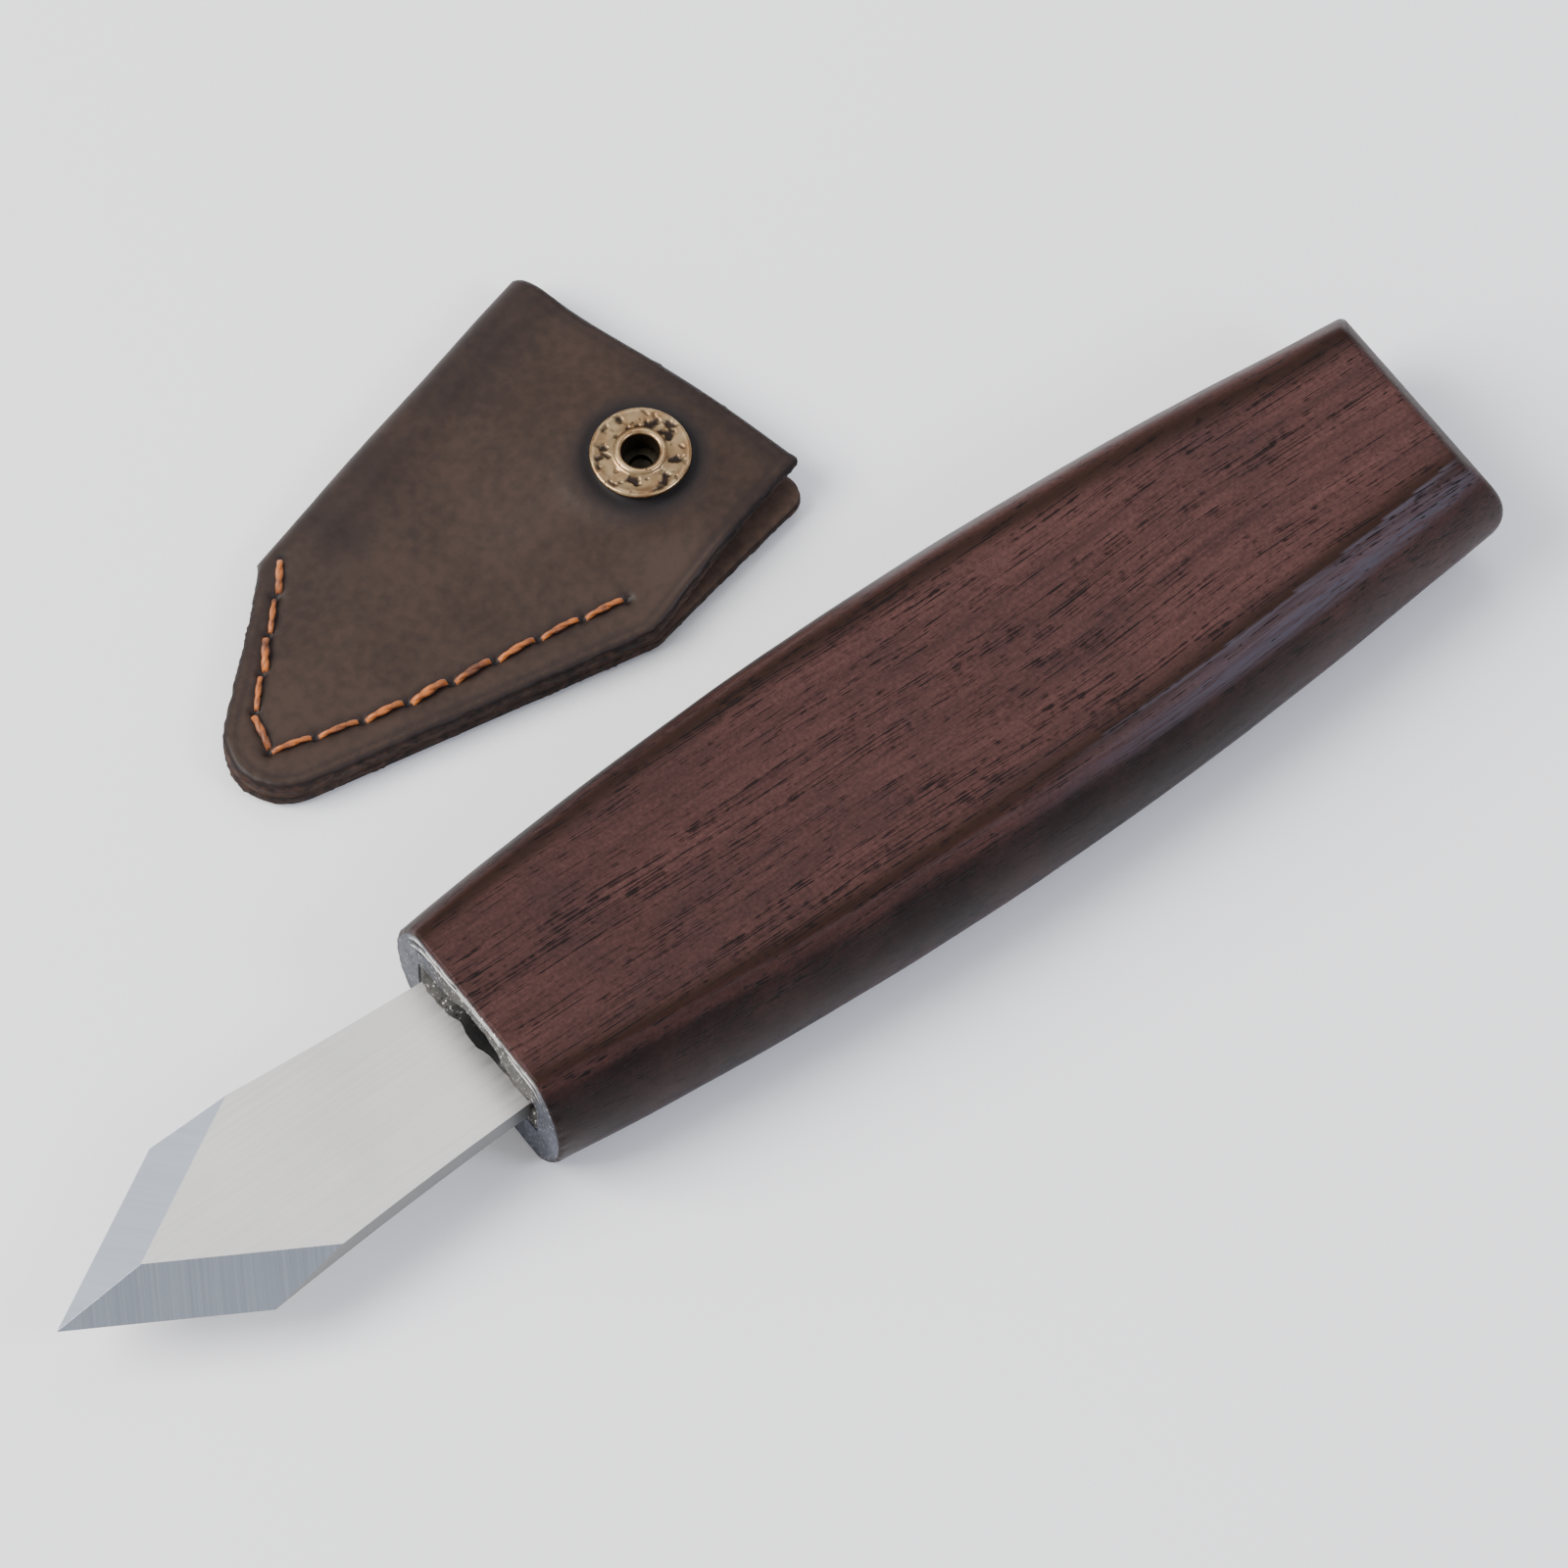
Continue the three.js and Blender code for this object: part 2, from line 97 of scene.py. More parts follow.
TIP_X = blade_low[0]
BLADE_LOW = blade_low[2]
BLADE_HIGH = blade_high[2]
TANG_END_X = blade_high[0]
SHOULDER_X = FRONT_X - 31.1
SHOULDER_HALF = blade_high[1]
NECK_HALF = 8.3
NECK_END_X = FRONT_X + 4.0
TANG_HALF = 5.0
TANG_END_HALF = 3.0
WAIST = 0.25                              # hollow of each side between shoulder and neck
BEVEL_WIDTH = 4.95
EDGE_LAND = 0.05                          # steel left at the cutting edge

SHEATH_CORNER = (-3.5, 68.1)              # mouth end of the fold
SHEATH_TURN = math.radians(195.5)
FOLD_LENGTH = 40.5
MOUTH_WIDTH = 35.2
FREE_EDGE = 22.8
TIP_CORNER = (67.2, 13.9)
TIP_RADIUS = 6.0
LEATHER = 1.9                             # thickness of one layer
FOLD_REACH = 2.8                          # half-width of the fold at the middle of the leather
SEAM_PATH = ((38.9, 1.3), (53.8, 9.9), (56.4, 13.7), (22.0, 31.5))
SEAM_STITCHES = (4, 1, 8)
SEAM_BOW = 0.7                            # how far the long leg of the seam wanders
SNAP_CENTRE = (9.5, 23.0)
SNAP_RADIUS = 5.1
SNAP_BORE = 1.9
SNAP_ROOM = 2.6                           # room between the layers where the snap holds them
FRONT_HOLE = 2.35                         # radius of the hole for the ring's tube
REAR_HOLE = 1.7                           # radius of the hole for the cap's post


def smooth_step(low, high, value):
    share = np.clip((np.asarray(value, float) - low) / (high - low), 0, 1)
    return share * share * (3 - 2 * share)


def wander(points, size, seed=0.0):
    """Smooth noise from -1 to 1 at each point, with lumps of about that size."""
    return np.array([noise.noise(Vector(p) / size + Vector((seed, seed * 1.7, -seed))) for p in points])


def to_world(points):
    """Points in the sheath's own frame (along the fold, away from it, up), as world millimetres."""
    points = np.asarray(points, float)
    cos, sin = math.cos(SHEATH_TURN), math.sin(SHEATH_TURN)
    x = SHEATH_CORNER[0] + points[:, 0] * cos - points[:, 1] * sin
    y = SHEATH_CORNER[1] + points[:, 0] * sin + points[:, 1] * cos
    return np.stack([x, y, points[:, 2]], axis=1)


def put_in_scene(name, data):
    """A new object with this mesh, light or camera."""
    piece = bpy.data.objects.new(name, data)
    bpy.context.scene.collection.objects.link(piece)
    return piece


def make_mesh(name, points, faces, materials, face_materials=None):
    mesh = bpy.data.meshes.new(name)
    mesh.from_pydata([tuple(p) for p in np.asarray(points, float) * MM], [], [tuple(f) for f in faces])
    for material in materials:
        mesh.materials.append(material)
    if face_materials is not None:
        mesh.polygons.foreach_set("material_index", np.asarray(face_materials, np.int32))
    mesh.polygons.foreach_set("use_smooth", [True] * len(mesh.polygons))
    mesh.validate()
    mesh.update()
    return put_in_scene(name, mesh)


def stitch_rings(rings, close_start=True, close_end=True):
    """Quads between rings of points that all have the same count, and fans that close the ends."""
    count = len(rings[0])
    points = np.concatenate(rings)
    faces = []
    for i in range(len(rings) - 1):
        for k in range(count):
            a, b = i * count + k, i * count + (k + 1) % count
            faces.append((a, b, b + count, a + count))
    extra = []
    if close_start:
        extra.append(rings[0].mean(axis=0))
        centre = len(points)
        faces += [(centre, (k + 1) % count, k) for k in range(count)]
    if close_end:
        centre = len(points) + len(extra)
        extra.append(rings[-1].mean(axis=0))
        last = (len(rings) - 1) * count
        faces += [(centre, last + k, last + (k + 1) % count) for k in range(count)]
    if extra:
        points = np.concatenate([points, np.array(extra)])
    return points, faces


def paint(piece, name, values):
    """Stores one number per vertex for the materials to read; vertices left over get nothing."""
    flat = np.zeros(len(piece.data.vertices), np.float32)
    given = np.concatenate([np.ravel(part) for part in values])
    flat[:len(given)] = np.clip(given, 0, 1)
    layer = piece.data.attributes.new(name, "FLOAT", "POINT")
    layer.data.foreach_set("value", flat)


def point_outwards(piece):
    mesh = bmesh.new()
    mesh.from_mesh(piece.data)
    bmesh.ops.recalc_face_normals(mesh, faces=mesh.faces)
    mesh.to_mesh(piece.data)
    mesh.free()


# ---- Materials ----

NOISE_LOW, NOISE_HIGH = 0.3, 0.7          # smooth noise stays between these almost everywhere
GRAIN_TURN = math.radians(-1.5)           # the grain runs a little off the handle's length


def lay_out(tree):
    """Spreads the nodes of each frame in columns, frame under frame."""
    frames = [node for node in tree.nodes if node.type == "FRAME"]
    for row, group in enumerate(frames + [None]):
        members = [node for node in tree.nodes if node.type != "FRAME" and node.parent == group]
        for column, node in enumerate(members):
            node.location = (column * 220, -row * 420)


def empty_material(name):
    """A new material and its node tree, with nothing in it."""
    material = bpy.data.materials.new(name)
    material.use_nodes = True
    material.node_tree.nodes.clear()
    return material, material.node_tree


def wood(name, light, mid, dark, streak, ridge_shade, dull_low, dull_high):
    """Oiled walnut: colour streaks, grain lines, cut fibres, rows of open pores and a satin film, with
    painted shade beside the ridges and on the sides and a painted sheen along the near ridge.
    """
    material, tree = empty_material(name)
    nodes, links = tree.nodes, tree.links
    place = nodes.new("NodeFrame")
    place.label = "Where the grain runs"
    figure = nodes.new("NodeFrame")
    figure.label = "Colour of the figure"
    pores = nodes.new("NodeFrame")
    pores.label = "Open pores"
    film = nodes.new("NodeFrame")
    film.label = "Satin film"

    position = nodes.new("ShaderNodeTexCoord")
    position.label = "Place on the handle"
    drift = nodes.new("ShaderNodeTexNoise")
    drift.label = "Slow drift of the grain"
    drifted = nodes.new("ShaderNodeMixRGB")
    drifted.label = "Grain bent by the drift"
    drifted.blend_type = "ADD"
    drifted.inputs["Fac"].default_value = 0.0045
    along = nodes.new("ShaderNodeMapping")
    along.label = "Stretched along the handle"
    finer = nodes.new("ShaderNodeMapping")
    finer.label = "Stretched for fine lines"
    dashes = nodes.new("ShaderNodeMapping")
    dashes.label = "Stretched for pores"
    stretches = ((along, (20.0, 520.0, 380.0)), (finer, (130.0, 3300.0, 2600.0)),
                 (dashes, (110.0, 6400.0, 5000.0)))
    for mapping, scale in stretches:
        mapping.inputs["Rotation"].default_value = (0.0, 0.0, GRAIN_TURN)
        mapping.inputs["Scale"].default_value = scale

    streaks = nodes.new("ShaderNodeTexNoise")
    streaks.label = "Broad streaks"
    tones = nodes.new("ShaderNodeValToRGB")
    tones.label = "Tones of the streaks"
    tones.color_ramp.elements[0].position = 0.3
    tones.color_ramp.elements[0].color = (*dark, 1)
    tones.color_ramp.elements[1].position = 0.72
    tones.color_ramp.elements[1].color = (*light, 1)
    middle = tones.color_ramp.elements.new(0.5)
    middle.color = (*mid, 1)
    lines = nodes.new("ShaderNodeTexNoise")
    lines.label = "Fine grain lines"
    line_strength = nodes.new("ShaderNodeMapRange")
    line_strength.label = "Strength of the fine lines"
    line_strength.inputs["To Min"].default_value = 0.8
    line_strength.inputs["To Max"].default_value = 1.18
    lined = nodes.new("ShaderNodeMixRGB")
    lined.label = "Streaks with fine lines"
    patches = nodes.new("ShaderNodeTexNoise")
    patches.label = "Worn and darker patches"
    patch_share = nodes.new("ShaderNodeMapRange")
    patch_share.label = "Where the patches are"
    patch_share.inputs["From Min"].default_value = 0.46
    patch_share.inputs["From Max"].default_value = 0.66
    patch_share.inputs["To Max"].default_value = 0.5
    patched = nodes.new("ShaderNodeMixRGB")
    patched.label = "Figure with patches"
    patched.inputs["Color2"].default_value = (*streak, 1)

    grit = nodes.new("ShaderNodeTexNoise")
    grit.label = "Cut fibres"
    grit_strength = nodes.new("ShaderNodeMapRange")
    grit_strength.label = "Strength of the cut fibres"
    grit_strength.inputs["To Min"].default_value = 0.72
    grit_strength.inputs["To Max"].default_value = 1.3
    gritty = nodes.new("ShaderNodeMixRGB")
    gritty.label = "Figure with cut fibres"

    # The figure gets paler towards the butt.
    place_along = nodes.new("ShaderNodeSeparateXYZ")
    place_along.label = "Along the handle"
    paler_to_butt = nodes.new("ShaderNodeMapRange")
    paler_to_butt.label = "Paler towards the butt"
    paler_to_butt.inputs["From Min"].default_value = FRONT_X * MM
    paler_to_butt.inputs["From Max"].default_value = BUTT_X * MM
    paler_to_butt.inputs["To Min"].default_value = 1.02
    paler_to_butt.inputs["To Max"].default_value = 1.36
    paler_figure = nodes.new("ShaderNodeMixRGB")
    paler_figure.label = "Faded figure"

    # Painted shade: a dark band on the flat beside each ridge, standing in for the shade there.
    ridge = nodes.new("ShaderNodeAttribute")
    ridge.label = "Beside a ridge"
    ridge.attribute_name = "ridge"
    shaded_beside_ridges = nodes.new("ShaderNodeMixRGB")
    shaded_beside_ridges.label = "Oil gathered beside the ridges"
    shaded_beside_ridges.inputs["Color2"].default_value = (*ridge_shade, 1)
    # Painted shade: the domed sides are multiplied darker, unevenly in patches, standing in for the shade
    # that falls on them.
    flank = nodes.new("ShaderNodeAttribute")
    flank.label = "On a domed side"
    flank.attribute_name = "flank"
    darkened = nodes.new("ShaderNodeMixRGB")
    darkened.label = "Sides soaked darker"
    darkened.blend_type = "MULTIPLY"
    darkened.inputs["Color2"].default_value = (0.18, 0.135, 0.14, 1)
    uneven_shade = nodes.new("ShaderNodeMapRange")
    uneven_shade.label = "Unevenly soaked"
    uneven_shade.inputs["From Min"].default_value = 0.36
    uneven_shade.inputs["From Max"].default_value = 0.58
    uneven_shade.inputs["To Min"].default_value = 0.62
    uneven_shade_side = nodes.new("ShaderNodeMath")
    uneven_shade_side.label = "Soaked sides"
    uneven_shade_side.operation = "MULTIPLY"

    # Painted sheen: a lavender tint mixed into the colour along the near ridge towards the butt, standing in
    # for light reflected there.
    painted_sheen = nodes.new("ShaderNodeAttribute")
    painted_sheen.label = "Along the worn ridge"
    painted_sheen.attribute_name = "painted_sheen"
    painted_sheen_lines = nodes.new("ShaderNodeMapRange")
    painted_sheen_lines.label = "Streaks in the bloom"
    painted_sheen_lines.inputs["From Min"].default_value = 0.3
    painted_sheen_lines.inputs["From Max"].default_value = 0.55
    painted_sheen_share = nodes.new("ShaderNodeMath")
    painted_sheen_share.label = "Streaky bloom"
    painted_sheen_share.operation = "MULTIPLY"
    painted_sheened = nodes.new("ShaderNodeMixRGB")
    painted_sheened.label = "Waxy bloom"
    painted_sheened.inputs["Color2"].default_value = (0.058, 0.049, 0.062, 1)

    pore_noise = nodes.new("ShaderNodeTexNoise")
    pore_noise.label = "Rows of pores"
    pore_zones = nodes.new("ShaderNodeTexNoise")
    pore_zones.label = "Bands rich in pores"
    pore_limit = nodes.new("ShaderNodeMath")
    pore_limit.label = "More pores in the bands"
    pore_limit.operation = "MULTIPLY_ADD"
    pore_limit.inputs[1].default_value = 0.32
    breaks = nodes.new("ShaderNodeTexNoise")
    breaks.label = "Gaps along a row"
    broken = nodes.new("ShaderNodeMath")
    broken.label = "Rows broken into pores"
    broken.operation = "MULTIPLY_ADD"
    broken.inputs[1].default_value = 0.38
    pore_depth = nodes.new("ShaderNodeMapRange")
    pore_depth.label = "Depth of a pore"
    pore_depth.inputs["From Min"].default_value = 0.945
    pore_depth.inputs["From Max"].default_value = 1.035
    pore_depth.inputs["To Max"].default_value = 0.92
    with_pores = nodes.new("ShaderNodeMixRGB")
    with_pores.label = "Dark pores"
    with_pores.inputs["Color2"].default_value = (0.004, 0.0022, 0.002, 1)

    pore_bump = nodes.new("ShaderNodeBump")
    pore_bump.label = "Pores sink in"
    pore_bump.invert = True
    pore_bump.inputs["Strength"].default_value = 0.45
    pore_bump.inputs["Distance"].default_value = 0.00008
    grain_bump = nodes.new("ShaderNodeBump")
    grain_bump.label = "Grain felt through the film"
    grain_bump.inputs["Strength"].default_value = 0.3
    grain_bump.inputs["Distance"].default_value = 0.00004
    sheen_level = nodes.new("ShaderNodeMapRange")
    sheen_level.label = "Uneven gloss"
    sheen_level.inputs["To Min"].default_value = dull_low
    sheen_level.inputs["To Max"].default_value = dull_high
    surface = nodes.new("ShaderNodeBsdfPrincipled")
    surface.label = "Oiled wood"
    surface.inputs["Specular IOR Level"].default_value = 0.1
    output = nodes.new("ShaderNodeOutputMaterial")
    output.label = "Wood"

    # Each noise with its scale, detail and roughness.
    noises = (
        (drift, 14.0, 2.0, 0.5), (streaks, 1.0, 6.0, 0.62), (lines, 1.0, 4.0, 0.7),
        (patches, 60.0, 9.0, 0.68), (grit, 2300.0, 3.0, 0.7), (pore_noise, 1.0, 1.5, 0.5),
        (pore_zones, 0.6, 2.0, 0.5), (breaks, 1000.0, 1.0, 0.5))
    for noise_node, scale, detail, roughness in noises:
        noise_node.inputs["Scale"].default_value = scale
        noise_node.inputs["Detail"].default_value = detail
        noise_node.inputs["Roughness"].default_value = roughness
    for strength in (line_strength, grit_strength, sheen_level):
        strength.inputs["From Min"].default_value = NOISE_LOW
        strength.inputs["From Max"].default_value = NOISE_HIGH
    for product in (lined, gritty, paler_figure):
        product.blend_type = "MULTIPLY"
        product.inputs["Fac"].default_value = 1.0
    for node in (position, drift, drifted, along, finer, dashes):
        node.parent = place
    for node in (streaks, tones, lines, line_strength, lined, patches, patch_share, patched, grit,
                 grit_strength, gritty, place_along, paler_to_butt, paler_figure, ridge, shaded_beside_ridges, flank, darkened, uneven_shade,
                 uneven_shade_side, painted_sheen, painted_sheen_lines, painted_sheen_share, painted_sheened):
        node.parent = figure
    for node in (pore_noise, pore_zones, pore_limit, breaks, broken, pore_depth, with_pores):
        node.parent = pores
    for node in (pore_bump, grain_bump, sheen_level, surface, output):
        node.parent = film

    links.new(position.outputs["Object"], drift.inputs["Vector"])
    links.new(position.outputs["Object"], drifted.inputs["Color1"])
    links.new(drift.outputs["Color"], drifted.inputs["Color2"])
    links.new(drifted.outputs["Color"], along.inputs["Vector"])
    links.new(drifted.outputs["Color"], finer.inputs["Vector"])
    links.new(drifted.outputs["Color"], dashes.inputs["Vector"])
    links.new(along.outputs["Vector"], streaks.inputs["Vector"])
    links.new(streaks.outputs["Fac"], tones.inputs["Fac"])
    links.new(finer.outputs["Vector"], lines.inputs["Vector"])
    links.new(lines.outputs["Fac"], line_strength.inputs["Value"])
    links.new(tones.outputs["Color"], lined.inputs["Color1"])
    links.new(line_strength.outputs["Result"], lined.inputs["Color2"])
    links.new(position.outputs["Object"], patches.inputs["Vector"])
    links.new(patches.outputs["Fac"], patch_share.inputs["Value"])
    links.new(patch_share.outputs["Result"], patched.inputs["Fac"])
    links.new(lined.outputs["Color"], patched.inputs["Color1"])
    links.new(dashes.outputs["Vector"], pore_noise.inputs["Vector"])
    links.new(along.outputs["Vector"], pore_zones.inputs["Vector"])
    links.new(pore_zones.outputs["Fac"], pore_limit.inputs[0])
    links.new(pore_noise.outputs["Fac"], pore_limit.inputs[2])
    links.new(drifted.outputs["Color"], breaks.inputs["Vector"])
    links.new(breaks.outputs["Fac"], broken.inputs[0])
    links.new(pore_limit.outputs["Value"], broken.inputs[2])
    links.new(broken.outputs["Value"], pore_depth.inputs["Value"])
    links.new(pore_depth.outputs["Result"], with_pores.inputs["Fac"])
    links.new(position.outputs["Object"], place_along.inputs["Vector"])
    links.new(place_along.outputs["X"], paler_to_butt.inputs["Value"])
    links.new(position.outputs["Object"], grit.inputs["Vector"])
    links.new(grit.outputs["Fac"], grit_strength.inputs["Value"])
    links.new(patched.outputs["Color"], gritty.inputs["Color1"])
    links.new(grit_strength.outputs["Result"], gritty.inputs["Color2"])
    links.new(gritty.outputs["Color"], paler_figure.inputs["Color1"])
    links.new(paler_to_butt.outputs["Result"], paler_figure.inputs["Color2"])
    links.new(paler_figure.outputs["Color"], shaded_beside_ridges.inputs["Color1"])
    links.new(ridge.outputs["Fac"], shaded_beside_ridges.inputs["Fac"])
    links.new(patches.outputs["Fac"], uneven_shade.inputs["Value"])
    links.new(flank.outputs["Fac"], uneven_shade_side.inputs[0])
    links.new(uneven_shade.outputs["Result"], uneven_shade_side.inputs[1])
    links.new(uneven_shade_side.outputs["Value"], darkened.inputs["Fac"])
    links.new(shaded_beside_ridges.outputs["Color"], darkened.inputs["Color1"])
    links.new(lines.outputs["Fac"], painted_sheen_lines.inputs["Value"])
    links.new(painted_sheen.outputs["Fac"], painted_sheen_share.inputs[0])
    links.new(painted_sheen_lines.outputs["Result"], painted_sheen_share.inputs[1])
    links.new(painted_sheen_share.outputs["Value"], painted_sheened.inputs["Fac"])
    links.new(darkened.outputs["Color"], painted_sheened.inputs["Color1"])
    links.new(painted_sheened.outputs["Color"], with_pores.inputs["Color1"])
    links.new(with_pores.outputs["Color"], surface.inputs["Base Color"])
    links.new(pore_depth.outputs["Result"], pore_bump.inputs["Height"])
    links.new(lines.outputs["Fac"], grain_bump.inputs["Height"])
    links.new(pore_bump.outputs["Normal"], grain_bump.inputs["Normal"])
    links.new(grain_bump.outputs["Normal"], surface.inputs["Normal"])
    links.new(streaks.outputs["Fac"], sheen_level.inputs["Value"])
    links.new(sheen_level.outputs["Result"], surface.inputs["Roughness"])
    links.new(surface.outputs["BSDF"], output.inputs["Surface"])
    lay_out(tree)
    return material


def end_grain(name, ground, smeared, speck, pit_and_gap_shade, speck_size, speck_limit, dull, bare_specks=1.0):
    """A clouded, specked face: sawn wood or glue, with pale beads (painted highlights) and dark gaps (painted
    shade) where painted.
    """
    material, tree = empty_material(name)
    nodes, links = tree.nodes, tree.links
    colour = nodes.new("NodeFrame")
    colour.label = "Clouds, specks and pits"
    face = nodes.new("NodeFrame")
    face.label = "Sealed face"

    position = nodes.new("ShaderNodeTexCoord")
    position.label = "Place on the face"
    clouds = nodes.new("ShaderNodeTexNoise")
    clouds.label = "Clouds in the sealer"
    clouds.inputs["Scale"].default_value = 420.0
    clouds.inputs["Detail"].default_value = 4.0
    cloud_tone = nodes.new("ShaderNodeMapRange")
    cloud_tone.label = "Light and dark clouds"
    cloud_tone.inputs["From Min"].default_value = NOISE_LOW
    cloud_tone.inputs["From Max"].default_value = NOISE_HIGH
    cloud_tone.inputs["To Min"].default_value = 0.6
    cloud_tone.inputs["To Max"].default_value = 1.3
    clouded = nodes.new("ShaderNodeMixRGB")
    clouded.label = "Clouded ground"
    clouded.blend_type = "MULTIPLY"
    clouded.inputs["Fac"].default_value = 1.0
    smear = nodes.new("ShaderNodeAttribute")
    smear.label = "Where glue is smeared"
    smear.attribute_name = "smear"
    grounds = nodes.new("ShaderNodeMixRGB")
    grounds.label = "Bare and smeared ground"
    grounds.inputs["Color1"].default_value = (*ground, 1)
    grounds.inputs["Color2"].default_value = (*smeared, 1)
    # Specks: grit in the sealer and glue; the pale ones also stand in for glints, as painted highlights where
    # the glue is smeared.
    specks = nodes.new("ShaderNodeTexNoise")
    specks.label = "Specks"
    specks.inputs["Scale"].default_value = speck_size
    specks.inputs["Detail"].default_value = 3.0
    speck_share = nodes.new("ShaderNodeMapRange")
    speck_share.label = "Light specks"
    speck_share.inputs["From Min"].default_value = speck_limit
    speck_share.inputs["From Max"].default_value = speck_limit + 0.08
    bare_share = nodes.new("ShaderNodeMapRange")
    bare_share.label = "Few specks on the bare face"
    bare_share.inputs["To Min"].default_value = bare_specks
    kept_specks = nodes.new("ShaderNodeMath")
    kept_specks.label = "Specks that show"
    kept_specks.operation = "MULTIPLY"
    pit_share = nodes.new("ShaderNodeMapRange")
    pit_share.label = "Dark pits"
    pit_share.inputs["From Min"].default_value = 1.0 - speck_limit
    pit_share.inputs["From Max"].default_value = 0.92 - speck_limit
    specked = nodes.new("ShaderNodeMixRGB")
    specked.label = "Ground with specks"
    specked.inputs["Color2"].default_value = (*speck, 1)
    pitted = nodes.new("ShaderNodeMixRGB")
    pitted.label = "Ground with pits"
    pitted.inputs["Color2"].default_value = (*pit_and_gap_shade, 1)
    # Painted highlight: the glue beads are coloured pale, standing in for the light they catch.
    bead_highlight = nodes.new("ShaderNodeAttribute")
    bead_highlight.label = "Beads of dried glue"
    bead_highlight.attribute_name = "bead_highlight"
    bead_highlighted = nodes.new("ShaderNodeMixRGB")
    bead_highlighted.label = "Pale beads"
    bead_highlighted.inputs["Color2"].default_value = (*speck, 1)
    # Painted shade: gaps, cracks, the mortise walls and the void above the blade are coloured near-black,
    # standing in for the shade in them.
    gap = nodes.new("ShaderNodeAttribute")
    gap.label = "Gaps and cracks"
    gap.attribute_name = "gap"
    gap_shaded = nodes.new("ShaderNodeMixRGB")
    gap_shaded.label = "Dark gaps"
    gap_shaded.inputs["Color2"].default_value = (*pit_and_gap_shade, 1)

    relief = nodes.new("ShaderNodeBump")
    relief.label = "Rough sawn relief"
    relief.inputs["Strength"].default_value = 0.5
    relief.inputs["Distance"].default_value = 0.0001
    surface = nodes.new("ShaderNodeBsdfPrincipled")
    surface.label = "Sealed end grain"
    surface.inputs["Roughness"].default_value = dull
    surface.inputs["Specular IOR Level"].default_value = 0.1
    output = nodes.new("ShaderNodeOutputMaterial")
    output.label = "End grain"

    for node in (position, clouds, cloud_tone, clouded, smear, grounds, specks, speck_share, bare_share,
                 kept_specks, pit_share, specked, pitted, bead_highlight, bead_highlighted, gap, gap_shaded):
        node.parent = colour
    for node in (relief, surface, output):
        node.parent = face

    links.new(position.outputs["Object"], clouds.inputs["Vector"])
    links.new(position.outputs["Object"], specks.inputs["Vector"])
    links.new(clouds.outputs["Fac"], cloud_tone.inputs["Value"])
    links.new(cloud_tone.outputs["Result"], clouded.inputs["Color2"])
    links.new(specks.outputs["Fac"], speck_share.inputs["Value"])
    links.new(specks.outputs["Fac"], pit_share.inputs["Value"])
    links.new(clouded.outputs["Color"], specked.inputs["Color1"])
    links.new(smear.outputs["Fac"], bare_share.inputs["Value"])
    links.new(speck_share.outputs["Result"], kept_specks.inputs[0])
    links.new(bare_share.outputs["Result"], kept_specks.inputs[1])
    links.new(kept_specks.outputs["Value"], specked.inputs["Fac"])
    links.new(specked.outputs["Color"], pitted.inputs["Color1"])
    links.new(pit_share.outputs["Result"], pitted.inputs["Fac"])
    links.new(pitted.outputs["Color"], bead_highlighted.inputs["Color1"])
    links.new(bead_highlight.outputs["Fac"], bead_highlighted.inputs["Fac"])
    links.new(bead_highlighted.outputs["Color"], gap_shaded.inputs["Color1"])
    links.new(gap.outputs["Fac"], gap_shaded.inputs["Fac"])
    links.new(gap_shaded.outputs["Color"], surface.inputs["Base Color"])
    links.new(smear.outputs["Fac"], grounds.inputs["Fac"])
    links.new(grounds.outputs["Color"], clouded.inputs["Color1"])
    links.new(specks.outputs["Fac"], relief.inputs["Height"])
    links.new(relief.outputs["Normal"], surface.inputs["Normal"])
    links.new(surface.outputs["BSDF"], output.inputs["Surface"])
    lay_out(tree)
    return material


